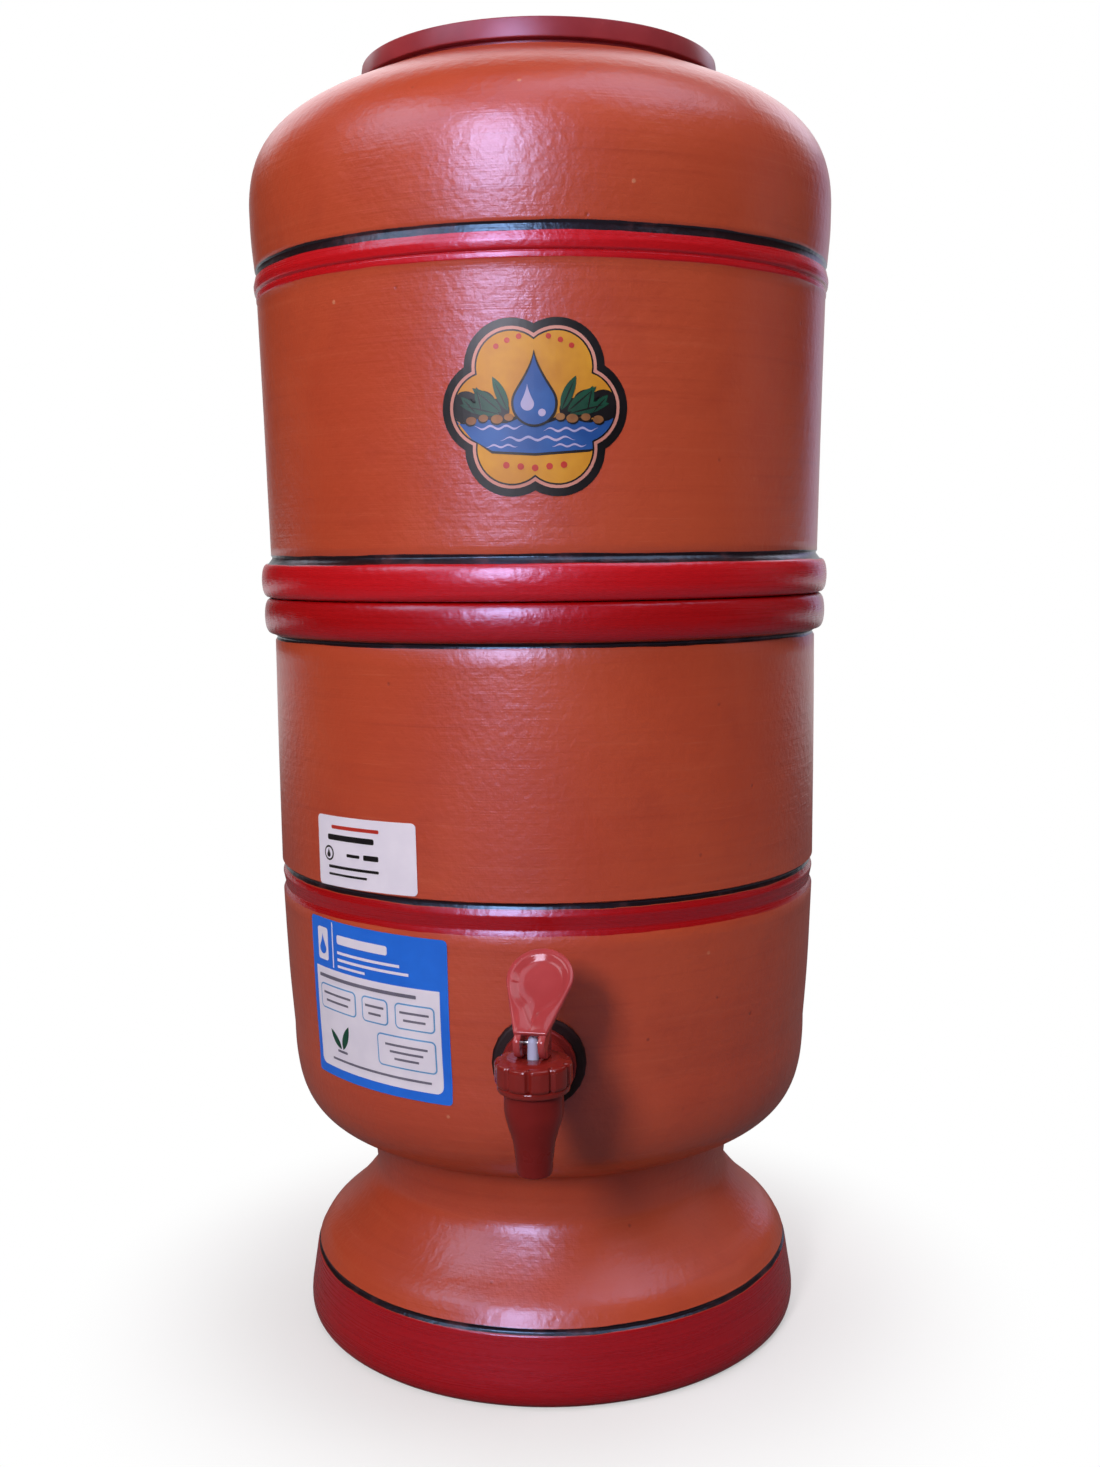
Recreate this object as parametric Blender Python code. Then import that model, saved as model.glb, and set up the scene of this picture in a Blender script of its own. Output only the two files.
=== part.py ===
"""Terracotta water filter: a lid, an upper vessel with a filter candle and a float
valve, a lower vessel on a hollow foot, and a lever tap on its front.

Metres, +Z up. The floor is z = 0, the tap points to -Y, and the origin is the middle
of the footprint, so the vessels' own axis stands a little behind it.
"""
import math

import bmesh
import bpy
from mathutils import Matrix, Vector

# Clearances
SEAT_GAP = 0.0003          # between a piece and what it rests on
PIN_GAP = 0.00025          # round a pin in its hole
VESSEL_FACETS = 36         # sides of the vessels and the lid
SMALL_FACETS = 24          # sides of the tap's and the candle's round pieces

# Foot of the lower vessel
FOOT_RADIUS = 0.1048       # widest point, a little above the floor
FOOT_REST_RADIUS = 0.1016  # outer edge of the ring that stands on the floor
FOOT_BAND_HEIGHT = 0.0283  # top of the painted base band
FOOT_BAND_STEP = 0.0011    # how far the base band stands proud
FOOT_TOP_RADIUS = 0.1007   # just above the base band
FOOT_WALL = 0.0090
WAIST_RADIUS = 0.0713      # crease between the foot and the bowl
WAIST_HEIGHT = 0.0733

# Lower vessel
BOWL_RADIUS = 0.1089       # where the bowl turns into the side
BOWL_HEIGHT = 0.1278
BODY_RADIUS = 0.1120       # side of the lower vessel at its painted band
LOWER_WALL = 0.0098
LOWER_FLOOR = 0.0110       # floor between the chamber and the hollow foot
LOW_BAND_BOTTOM = 0.1848
LOW_BAND_TOP = 0.1978
BAND_DEPTH = 0.0010        # how far a painted band is pressed in
LOWER_RIM_HEIGHT = 0.3057  # top face of the lower vessel
LOWER_BEAD_HEIGHT = 0.0143
LOWER_BEAD_SWELL = 0.0041

# Upper vessel
UPPER_FOOT_RADIUS = 0.1132  # side of the upper vessel, just above its bead
UPPER_BEAD_HEIGHT = 0.0137
UPPER_BEAD_SWELL = 0.0041
LINE_WIDTH = 0.0030        # black lines beside the red bands
UPPER_WALL = 0.0098
UPPER_FLOOR = 0.0120
SPIGOT_DEPTH = 0.0090      # how far the upper vessel sits in the lower one
SPIGOT_WIDTH = 0.0120
SPIGOT_PLAY = 0.0012
TOP_BAND_RADIUS = 0.1157
TOP_BAND_BOTTOM = 0.4231
TOP_BAND_TOP = 0.4358
SHOULDER_RADIUS = 0.1177   # widest point of the filter
SHOULDER_HEIGHT = 0.4598
RIM_HEIGHT = 0.5064        # top face of the upper vessel
RIM_OUTER_RADIUS = 0.0745
MOUTH_RADIUS = 0.0630

# Lid
LID_RADIUS = 0.0723
LID_DRAFT = 0.0013         # the side leans in towards the top
LID_RIM_HEIGHT = 0.0076
LID_NECK_RADIUS = 0.0690
LID_NECK_HEIGHT = 0.0021
LID_WALL = 0.0022
LID_SKIRT_DEPTH = 0.0110
LID_SKIRT_PLAY = 0.0012
LID_RIM_WIDTH = 0.0058
LID_DISH_DEPTH = 0.0040
LID_GRIP_RADIUS = 0.0160
LID_GRIP_HEIGHT = 0.0040

# Filter candle
CANDLE_RADIUS = 0.0280
CANDLE_WALL = 0.0070
CANDLE_HEIGHT = 0.0920     # ceramic only
CANDLE_CAP_WALL = 0.0015
CANDLE_CAP_BASE = 0.0040
CANDLE_CAP_LIP = 0.0100
OUTLET_RADIUS = 0.0060     # threaded outlet under the candle
OUTLET_LENGTH = 0.0440
OUTLET_BORE = 0.0025
FLOOR_HOLE_PLAY = 0.0010
SEAL_RADIUS = 0.0150
SEAL_THICKNESS = 0.0034
WASHER_RADIUS = 0.0130
WASHER_THICKNESS = 0.0025
NUT_RADIUS = 0.0095
NUT_HEIGHT = 0.0100
WING_REACH = 0.0200
WING_THICKNESS = 0.0030

# Float valve on the candle's outlet
VALVE_RADIUS = 0.0092
VALVE_HEIGHT = 0.0200
VALVE_END_WALL = 0.0060
NOZZLE_RADIUS = 0.0038
NOZZLE_LENGTH = 0.0044
NOZZLE_BORE = 0.0016
PIVOT_OFFSET = 0.0090      # pin to nozzle axis
PIVOT_DROP = 0.0086        # pin below the nozzle's tip
FLOAT_PIN_RADIUS = 0.0012
EAR_THICKNESS = 0.0022
EAR_RADIUS = 0.0036
ARM_WIDTH = 0.0090
ARM_PLAY = 0.0003
ARM_BAR = 0.0050           # bar's height
ARM_LENGTH = 0.0310        # pin to the float's neck
PEG_RADIUS = 0.0021
PEG_LENGTH = 0.0080
PAD_RADIUS = 0.0040
PAD_THICKNESS = 0.0030
PAD_POCKET = 0.0014
FLOAT_RADIUS = 0.0180
FLOAT_WALL = 0.0014
FLOAT_RISE = math.radians(90.4)  # hanging to shut

# Tap
TAP_HEIGHT = 0.1386        # shank axis above the floor
TAP_STANDOFF = 0.0480      # wall to the tap's upright axis
SHANK_RADIUS = 0.0077
SHANK_BORE = 0.0033
SHANK_HOLE_PLAY = 0.0011
SHANK_LENGTH = 0.0265      # behind the flange
ARM_RADIUS = 0.0053
RING_RADIUS = 0.0110
FLANGE_RADIUS = 0.0137
FLANGE_THICKNESS = 0.0030
OUTER_GASKET_RADIUS = 0.0173
OUTER_GASKET = 0.0030
INNER_GASKET_RADIUS = 0.0150
INNER_GASKET = 0.0025
SHANK_NUT_FLATS = 0.0220
SHANK_NUT_HEIGHT = 0.0075
SPOUT_DROP = 0.0233        # shank axis to the spout's end
SPOUT_RADIUS = 0.0060
SPOUT_DRAFT = 0.0009       # the spout widens by this to where it flares
SPOUT_BORE = 0.0044
NECK_RADIUS = 0.0101
NECK_RISE = 0.0128         # shank axis to the neck's top
CHAMBER_RADIUS = 0.0080
SEAT_DROP = 0.0058         # shank axis to the valve seat
SEAT_BORE = 0.0039
SEAT_LIP = 0.0010
BONNET_RADIUS = 0.01325
BONNET_TOP_RADIUS = 0.0090  # flat top that the lever's heel lies on
BONNET_FOOT_RADIUS = 0.0114
BONNET_FLUTES = 10
BONNET_FLUTE_DEPTH = 0.0009
BONNET_ROOF = 0.0020
BONNET_SKIRT = 0.0093      # roof's underside to the lower edge
BONNET_CHAMFER = 0.0030
BONNET_SLOPE = 0.0018      # fall from the flat top to the fluted side
CUP_FLANGE = 0.0017
CUP_PLUG_RADIUS = 0.0056
CUP_PLUG_HEIGHT = 0.0048
CUP_PLUG_FLOOR = 0.0018
CUP_WALL = 0.0010
STEM_RADIUS = 0.0020
STEM_BEAD_RADIUS = 0.0028
STEM_BEAD_HEIGHT = 0.0030
STEM_PLAY = 0.0004
STEM_TOP_ROUND = 0.0026    # above the lever's pin

# Tap lever, drawn with its paddle upright and stored leaning back
LEVER_YAW = math.radians(-10.5)   # turned a little to one side
LEVER_LEAN = math.radians(47.0)   # paddle's lean towards the vessel with the tap shut
LEVER_TRAVEL = math.radians(90.0)
VALVE_LIFT = 0.0025               # how far a full pull lifts the stem
LEVER_PIN_RADIUS = 0.0010
HEEL_RADIUS = 0.0046              # pin to the bonnet with the tap shut
HEEL_BACK = 0.0040                # flat heel behind the pin
CHEEK_GAP = 0.0061
CHEEK_THICKNESS = 0.0023
CHEEK_BACK = 0.0046
PADDLE_FRONT = 0.0068             # pin to the paddle's front face
PADDLE_THICKNESS = 0.0022
PADDLE_FOOT = -0.0005             # lower edge, from the pin along the paddle
PADDLE_FOOT_WIDTH = 0.0112
PADDLE_TIP = 0.0330
PADDLE_RADIUS = 0.0116
DISH_RADIUS = 0.00735
DISH_TAIL = 0.0040                # tail's point above the lower edge
DISH_SLOPE = 0.0014
DISH_DEPTH = 0.0008

# Colours, roughness and metallic value
CLAY = ((0.52, 0.17, 0.08, 1.0), 0.62, 0.0)
RED = ((0.45, 0.03, 0.04, 1.0), 0.38, 0.0)
BLACK = ((0.03, 0.015, 0.02, 1.0), 0.35, 0.0)
LID_PLASTIC = ((0.36, 0.09, 0.10, 1.0), 0.30, 0.0)
TAP_PLASTIC = ((0.34, 0.06, 0.04, 1.0), 0.25, 0.0)
RUBBER = ((0.04, 0.03, 0.04, 1.0), 0.60, 0.0)
SILICONE = ((0.75, 0.75, 0.72, 1.0), 0.45, 0.0)
WHITE_PLASTIC = ((0.80, 0.82, 0.84, 1.0), 0.35, 0.0)
CANDLE_CLAY = ((0.86, 0.84, 0.78, 1.0), 0.85, 0.0)
STEEL = ((0.60, 0.60, 0.58, 1.0), 0.30, 1.0)

# Heights and distances that follow from the sizes above
CAM_RATE = VALVE_LIFT / LEVER_TRAVEL
UPPER_BASE = LOWER_RIM_HEIGHT + SEAT_GAP
FLOOR_TOP = UPPER_BASE - SPIGOT_DEPTH / 2 + UPPER_FLOOR
FLOOR_UNDER = FLOOR_TOP - UPPER_FLOOR
CANDLE_BASE = FLOOR_TOP + SEAL_THICKNESS + 2 * SEAT_GAP
WASHER_TOP = FLOOR_UNDER - SEAT_GAP
NUT_TOP = WASHER_TOP - WASHER_THICKNESS - SEAT_GAP
OUTLET_END = CANDLE_BASE - OUTLET_LENGTH
VALVE_TOP = NUT_TOP - NUT_HEIGHT - SEAT_GAP
NOZZLE_TIP = VALVE_TOP - VALVE_HEIGHT - NOZZLE_LENGTH
PIVOT_HEIGHT = NOZZLE_TIP - PIVOT_DROP
NECK_TOP = TAP_HEIGHT + NECK_RISE
BONNET_CEILING = NECK_TOP + CUP_FLANGE + 2 * SEAT_GAP
BONNET_TOP = BONNET_CEILING + BONNET_ROOF
BONNET_BOTTOM = BONNET_CEILING - BONNET_SKIRT
LEVER_PIN_HEIGHT = BONNET_TOP + SEAT_GAP + HEEL_RADIUS
SEAT_HEIGHT = TAP_HEIGHT - SEAT_DROP
CUP_BOTTOM = SEAT_HEIGHT + SEAT_GAP


# Outlines

def bezier(a, b, c, d, steps):
    """Points of a cubic curve from a to d, without a itself."""
    points = []
    for i in range(1, steps + 1):
        t = i / steps
        s = 1 - t
        weights = (s * s * s, 3 * s * s * t, 3 * s * t * t, t * t * t)
        points.append(tuple(
            sum(w * p[k] for w, p in zip(weights, (a, b, c, d))) for k in (0, 1)
        ))
    return points


def ellipse_arc(centre, half_width, half_height, start, end, steps):
    """Points of an ellipse arc, both ends included, angles in degrees."""
    points = []
    for i in range(steps + 1):
        angle = math.radians(start + (end - start) * i / steps)
        points.append((
            centre[0] + half_width * math.cos(angle),
            centre[1] + half_height * math.sin(angle),
        ))
    return points


def moved_in(points, wall):
    """An outline that runs up the outer side, moved in by a wall's thickness."""
    inner = []
    for i, (r, z) in enumerate(points):
        before = points[max(i - 1, 0)]
        after = points[min(i + 1, len(points) - 1)]
        along = Vector((after[0] - before[0], after[1] - before[1])).normalized()
        inner.append((r - wall * along.y, z + wall * along.x))
    return inner


def radius_at(points, height):
    """Radius of an outline that runs up, at a height."""
    for (r0, z0), (r1, z1) in zip(points, points[1:]):
        if z0 <= height <= z1:
            return r0 + (r1 - r0) * (height - z0) / (z1 - z0)
    return points[-1][0]


def bead(radius, bottom, height, swell):
    """A rounded moulding that stands out from a wall of the given radius."""
    middle = bottom + height / 2
    points = []
    for degrees in (-80, -48, -16, 16, 48, 80):
        angle = math.radians(degrees)
        reach = swell * math.sqrt(math.cos(angle))
        points.append((radius + reach, middle + height / 2 * math.sin(angle)))
    return points


# Meshes

def lathe_mesh(name, outline, facets, ripple=None):
    """A closed outline of (radius, height) turned once round Z.

    ripple(i, k) adds to the radius of outline point k at facet i.
    """
    bm = bmesh.new()
    rings = []
    for k, (radius, height) in enumerate(outline):
        if radius < 1e-7:
            rings.append([bm.verts.new((0.0, 0.0, height))])
            continue
        ring = []
        for i in range(facets):
            angle = math.tau * i / facets
            r = radius + (ripple(i, k) if ripple else 0.0)
            ring.append(bm.verts.new((r * math.cos(angle), r * math.sin(angle), height)))
        rings.append(ring)
    for lower, upper in zip(rings, rings[1:] + rings[:1]):
        if len(lower) == 1 and len(upper) == 1:
            continue
        for i in range(facets):
            j = (i + 1) % facets
            corners = [lower[i % len(lower)], lower[j % len(lower)],
                       upper[j % len(upper)], upper[i % len(upper)]]
            face = [v for n, v in enumerate(corners) if v not in corners[:n]]
            bm.faces.new(face)
    bmesh.ops.recalc_face_normals(bm, faces=bm.faces)
    return finish_mesh(name, bm)


def prism_mesh(name, rings):
    """Matching rings of points, joined in turn and closed at both ends."""
    bm = bmesh.new()
    loops = [[bm.verts.new(point) for point in ring] for ring in rings]
    count = len(loops[0])
    for lower, upper in zip(loops, loops[1:]):
        for i in range(count):
            j = (i + 1) % count
            bm.faces.new((lower[i], lower[j], upper[j], upper[i]))
    bm.faces.new(loops[0])
    bm.faces.new(loops[-1])
    bmesh.ops.recalc_face_normals(bm, faces=bm.faces)
    return finish_mesh(name, bm)


def finish_mesh(name, bm):
    mesh = bpy.data.meshes.new(name)
    bm.to_mesh(mesh)
    bm.free()
    mesh.shade_smooth()
    mesh.set_sharp_from_angle(angle=math.radians(38))
    return mesh


def rod_mesh(name, radius, start, end, facets, chamfer=0.0):
    """A plain round bar along Z, its ends chamfered if asked."""
    outline = [(0.0, start), (radius - chamfer, start)]
    if chamfer:
        outline += [(radius, start + chamfer), (radius, end - chamfer)]
    outline += [(radius - chamfer, end), (0.0, end)]
    return lathe_mesh(name, outline, facets)


def turned(mesh, matrix):
    mesh.transform(matrix)
    return mesh


ALONG_Y = Matrix.Rotation(math.radians(-90), 4, "X")
ALONG_X = Matrix.Rotation(math.radians(90), 4, "Y")


# Objects and materials

def material(name, finish):
    colour, roughness, metallic = finish
    found = bpy.data.materials.get(name)
    if found:
        return found
    made = bpy.data.materials.new(name)
    made.use_nodes = True
    made.diffuse_color = colour
    shader = made.node_tree.nodes["Principled BSDF"]
    shader.inputs["Base Color"].default_value = colour
    shader.inputs["Roughness"].default_value = roughness
    shader.inputs["Metallic"].default_value = metallic
    return made


def piece(name, mesh, finish, place=(0, 0, 0), turn=(0, 0, 0)):
    obj = bpy.data.objects.new(name, mesh)
    bpy.context.scene.collection.objects.link(obj)
    obj.location = place
    obj.rotation_euler = turn
    mesh.materials.append(material(name, finish))
    return obj


def shape(obj, mesh, operation, place=(0, 0, 0)):
    """Cut, join or keep with a hidden tool that rides on the object."""
    tool = bpy.data.objects.new(f"{obj.name}_tool_{len(obj.modifiers)}", mesh)
    bpy.context.scene.collection.objects.link(tool)
    tool.parent = obj
    tool.location = place
    tool.hide_render = True
    tool.display_type = "WIRE"
    step = obj.modifiers.new(tool.name, "BOOLEAN")
    step.operation = operation
    step.solver = "EXACT"
    step.object = tool


def paint(obj, bands, inside):
    """Colour the outer faces of a vessel between pairs of heights."""
    mesh = obj.data
    for name, finish, low, high in bands:
        mesh.materials.append(material(name, finish))
        slot = len(mesh.materials) - 1
        for face in mesh.polygons:
            centre = face.center
            outside = math.hypot(centre.x, centre.y) > inside
            if outside and low < centre.z < high:
                face.material_index = slot


# Vessels

def foot_curve():
    """Concave flare from the base band up to the waist."""
    start = (FOOT_TOP_RADIUS, FOOT_BAND_HEIGHT + LINE_WIDTH)
    end = (WAIST_RADIUS, WAIST_HEIGHT)
    rise = end[1] - start[1]
    run = start[0] - end[0]
    lower = (start[0] - 0.091 * run, start[1] + 0.510 * rise)
    upper = (end[0] + 0.023 * run, end[1] - 0.747 * rise)
    return [start] + bezier(start, lower, upper, end, 5)


def bowl_curve():
    """Rounded underside of the bowl, from the waist to the side."""
    start = (WAIST_RADIUS, WAIST_HEIGHT)
    end = (BOWL_RADIUS, BOWL_HEIGHT)
    rise = end[1] - start[1]
    run = end[0] - start[0]
    lower = (start[0] + 0.864 * run, start[1] + 0.496 * rise)
    upper = (end[0] - 0.045 * run, start[1] + 0.370 * rise)
    return [start] + bezier(start, lower, upper, end, 5)


def lower_side():
    """Outer side of the lower vessel below its painted band."""
    start = bowl_curve()[-1]
    end = (BODY_RADIUS, LOW_BAND_BOTTOM)
    rise = end[1] - start[1]
    run = end[0] - start[0]
    middle = (start[0] + 0.55 * run, start[1] + 0.42 * rise)
    return bowl_curve() + [middle, end]


def shoulder_curve():
    """Domed top of the upper vessel, from its widest point to the rim."""
    start = (SHOULDER_RADIUS, SHOULDER_HEIGHT)
    end = (RIM_OUTER_RADIUS, RIM_HEIGHT - 0.0006)
    rise = end[1] - start[1]
    run = start[0] - end[0]
    lower = (start[0] - 0.009 * run, start[1] + 0.569 * rise)
    upper = (end[0] + 0.658 * run, start[1] + 0.751 * rise)
    return [start] + bezier(start, lower, upper, end, 7)


def low_band():
    """A shallow channel with a V groove for its black line."""
    bottom, top = LOW_BAND_BOTTOM, LOW_BAND_TOP
    return [
        (BODY_RADIUS - BAND_DEPTH, bottom + 0.0014),
        (BODY_RADIUS - BAND_DEPTH, top - LINE_WIDTH - 0.0008),
        (BODY_RADIUS - 1.6 * BAND_DEPTH, top - LINE_WIDTH / 2),
        (BODY_RADIUS - BAND_DEPTH, top - 0.0006),
        (BODY_RADIUS + 0.0002, top),
    ]


def lower_vessel():
    rest = FOOT_REST_RADIUS
    base = [
        (rest, 0.0),
        (FOOT_RADIUS - 0.0007, 0.0026),
        (FOOT_RADIUS, 0.0080),
        (FOOT_RADIUS - 0.0014, 0.0180),
        (FOOT_TOP_RADIUS + FOOT_BAND_STEP, FOOT_BAND_HEIGHT),
    ]
    bead_bottom = LOWER_RIM_HEIGHT - LOWER_BEAD_HEIGHT
    outer = base + foot_curve() + lower_side()[1:] + low_band()
    outer += [
        (BODY_RADIUS + 0.0004, (LOW_BAND_TOP + bead_bottom) / 2),
        (BODY_RADIUS + 0.0003, bead_bottom - LINE_WIDTH),
        (BODY_RADIUS - 0.0006, bead_bottom - LINE_WIDTH / 2),
    ]
    outer += bead(BODY_RADIUS + 0.0003, bead_bottom, LOWER_BEAD_HEIGHT, LOWER_BEAD_SWELL)
    outer += [(BODY_RADIUS + 0.0008, LOWER_RIM_HEIGHT)]
    floor_top = WAIST_HEIGHT + LOWER_FLOOR
    mouth = BODY_RADIUS - LOWER_WALL
    chamber = [p for p in moved_in(lower_side(), LOWER_WALL) if p[1] > floor_top + 0.002]
    inner = [(mouth + 0.0010, LOWER_RIM_HEIGHT), (mouth, LOWER_RIM_HEIGHT - 0.0015)]
    inner += chamber[::-1]
    inner += [(chamber[0][0] - 0.012, floor_top), (0.0, floor_top)]
    hollow = moved_in(base[1:4] + foot_curve(), FOOT_WALL)
    ceiling = floor_top - LOWER_FLOOR
    hollow = [p for p in hollow if 0.004 < p[1] < ceiling - 0.003]
    under = [(0.0, ceiling), (hollow[-1][0] - 0.004, ceiling)]
    under += hollow[::-1]
    under += [(rest - FOOT_WALL, 0.0)]
    outline = outer + inner + under
    mesh = lathe_mesh("lower_vessel", outline, VESSEL_FACETS)
    vessel = piece("lower_vessel", mesh, CLAY, AXIS)
    bands = [
        ("lower_vessel_red", RED, 0.0, FOOT_BAND_HEIGHT),
        ("lower_vessel_red", RED, LOW_BAND_BOTTOM, LOW_BAND_TOP - LINE_WIDTH),
        ("lower_vessel_red", RED, bead_bottom, LOWER_RIM_HEIGHT - 0.0001),
        ("lower_vessel_black", BLACK, FOOT_BAND_HEIGHT, FOOT_BAND_HEIGHT + LINE_WIDTH),
        ("lower_vessel_black", BLACK, LOW_BAND_TOP - LINE_WIDTH, LOW_BAND_TOP),
        ("lower_vessel_black", BLACK, bead_bottom - LINE_WIDTH, bead_bottom),
    ]
    paint(vessel, bands, FOOT_RADIUS - FOOT_WALL / 2)
    hole = rod_mesh("tap_hole", SHANK_RADIUS + SHANK_HOLE_PLAY, 0.0, 3 * LOWER_WALL, 24)
    start = -WALL_AT_TAP - LOWER_WALL
    shape(vessel, turned(hole, ALONG_Y), "DIFFERENCE", (0, start, TAP_HEIGHT))
    return vessel


def upper_vessel():
    base = UPPER_BASE
    bead_top = base + UPPER_BEAD_HEIGHT
    side = UPPER_FOOT_RADIUS
    outer = [(side + 0.0004, base)]
    outer += bead(side, base, UPPER_BEAD_HEIGHT, UPPER_BEAD_SWELL)
    outer += [
        (side - 0.0007, bead_top + LINE_WIDTH / 2),
        (side, bead_top + LINE_WIDTH),
    ]
    bottom, top = TOP_BAND_BOTTOM, TOP_BAND_TOP
    outer += [
        (TOP_BAND_RADIUS, bottom),
        (TOP_BAND_RADIUS - BAND_DEPTH / 2, bottom + 0.0008),
        (TOP_BAND_RADIUS - BAND_DEPTH / 2, bottom + 0.0034),
        (TOP_BAND_RADIUS + BAND_DEPTH, bottom + 0.0044),
        (TOP_BAND_RADIUS + 1.2 * BAND_DEPTH, bottom + 0.0068),
        (TOP_BAND_RADIUS + BAND_DEPTH / 2, top - LINE_WIDTH - 0.0006),
        (TOP_BAND_RADIUS - BAND_DEPTH / 2, top - LINE_WIDTH / 2),
    ]
    swell = SHOULDER_RADIUS - TOP_BAND_RADIUS
    outer += [
        (TOP_BAND_RADIUS + 0.35 * swell, top),
        (TOP_BAND_RADIUS + 0.85 * swell, (top + SHOULDER_HEIGHT) / 2),
    ]
    shoulder = shoulder_curve()
    outer += shoulder
    outer += [(RIM_OUTER_RADIUS - 0.0006, RIM_HEIGHT)]
    lip = [(MOUTH_RADIUS + 0.0015, RIM_HEIGHT), (MOUTH_RADIUS, RIM_HEIGHT - 0.0015)]
    side_points = [(side, bead_top + 3 * LINE_WIDTH), (TOP_BAND_RADIUS, bottom)]
    chamber = moved_in(side_points + shoulder, UPPER_WALL)
    chamber = [p for p in chamber if p[0] > MOUTH_RADIUS + 0.003]
    spigot = BODY_RADIUS - LOWER_WALL - SPIGOT_PLAY
    inner = lip + [(MOUTH_RADIUS, chamber[-1][1] - 0.001)] + chamber[::-1]
    inner += [
        (side - UPPER_WALL - 0.0030, FLOOR_TOP + 0.0040),
        (side - UPPER_WALL - 0.0120, FLOOR_TOP),
        (OUTLET_RADIUS + FLOOR_HOLE_PLAY, FLOOR_TOP),
        (OUTLET_RADIUS + FLOOR_HOLE_PLAY, FLOOR_UNDER),
        (spigot - SPIGOT_WIDTH, FLOOR_UNDER),
        (spigot - SPIGOT_WIDTH, base - SPIGOT_DEPTH),
        (spigot - 0.0010, base - SPIGOT_DEPTH),
        (spigot, base - SPIGOT_DEPTH + 0.0010),
        (spigot, base),
    ]
    mesh = lathe_mesh("upper_vessel", outer + inner, VESSEL_FACETS)
    vessel = piece("upper_vessel", mesh, CLAY, AXIS)
    bands = [
        ("upper_vessel_red", RED, base + 0.0001, bead_top),
        ("upper_vessel_red", RED, bottom, top - LINE_WIDTH),
        ("upper_vessel_black", BLACK, bead_top, bead_top + LINE_WIDTH),
        ("upper_vessel_black", BLACK, top - LINE_WIDTH, top),
    ]
    paint(vessel, bands, side - UPPER_WALL / 2)
    return vessel


def lid():
    seat = RIM_HEIGHT + SEAT_GAP
    cap = seat + LID_NECK_HEIGHT
    top = cap + LID_RIM_HEIGHT
    dish = top - LID_DISH_DEPTH
    under = dish - LID_WALL
    skirt = MOUTH_RADIUS - LID_SKIRT_PLAY
    rim_inner = LID_RADIUS - LID_DRAFT - LID_RIM_WIDTH
    grip_top = dish + LID_GRIP_HEIGHT
    outline = [
        (LID_NECK_RADIUS, seat),
        (LID_NECK_RADIUS, cap),
        (LID_RADIUS, cap),
        (LID_RADIUS - LID_DRAFT, top - 0.0014),
        (LID_RADIUS - LID_DRAFT - 0.0014, top),
        (rim_inner, top),
        (rim_inner - 0.0020, dish + 0.0008),
        (rim_inner - 0.0032, dish),
        (LID_GRIP_RADIUS + 0.0020, dish),
        (LID_GRIP_RADIUS, grip_top - 0.0012),
        (LID_GRIP_RADIUS - 0.0016, grip_top),
        (0.0, grip_top - 0.0008),
        (0.0, under),
        (skirt - LID_WALL, under),
        (skirt - LID_WALL, seat - LID_SKIRT_DEPTH),
        (skirt, seat - LID_SKIRT_DEPTH),
        (skirt, under),
        (LID_NECK_RADIUS - LID_WALL, under),
        (LID_NECK_RADIUS - LID_WALL, seat),
    ]
    return piece("lid", lathe_mesh("lid", outline, VESSEL_FACETS), LID_PLASTIC, AXIS)


# Candle, its fixings and the float valve

def candle():
    pocket = CANDLE_BASE + CANDLE_CAP_BASE
    cap_inner = CANDLE_RADIUS + SEAT_GAP
    cap_outer = cap_inner + CANDLE_CAP_WALL
    cap = [
        (OUTLET_BORE, OUTLET_END),
        (OUTLET_RADIUS - 0.0008, OUTLET_END),
        (OUTLET_RADIUS, OUTLET_END + 0.0008),
        (OUTLET_RADIUS, CANDLE_BASE),
        (cap_outer - 0.0010, CANDLE_BASE),
        (cap_outer, CANDLE_BASE + 0.0010),
        (cap_outer, pocket + CANDLE_CAP_LIP),
        (cap_inner, pocket + CANDLE_CAP_LIP),
        (cap_inner, pocket),
        (OUTLET_BORE, pocket),
    ]
    piece("candle_cap", lathe_mesh("candle_cap", cap, SMALL_FACETS), WHITE_PLASTIC, AXIS)
    foot = pocket + SEAT_GAP
    straight = foot + CANDLE_HEIGHT - CANDLE_RADIUS
    hollow = CANDLE_RADIUS - CANDLE_WALL
    shell = [(hollow, foot), (CANDLE_RADIUS, foot)]
    shell += ellipse_arc((0, straight), CANDLE_RADIUS, CANDLE_RADIUS, 0, 90, 6)[:-1]
    shell += [(0.0, foot + CANDLE_HEIGHT), (0.0, straight + hollow)]
    shell += ellipse_arc((0, straight), hollow, hollow, 90, 0, 4)[1:]
    piece("candle_dome", lathe_mesh("candle_dome", shell, SMALL_FACETS), CANDLE_CLAY, AXIS)


def ring(name, inner, outer, bottom, height, facets, finish):
    outline = [
        (inner, bottom),
        (outer, bottom),
        (outer, bottom + height),
        (inner, bottom + height),
    ]
    return piece(name, lathe_mesh(name, outline, facets), finish, AXIS)


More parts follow.
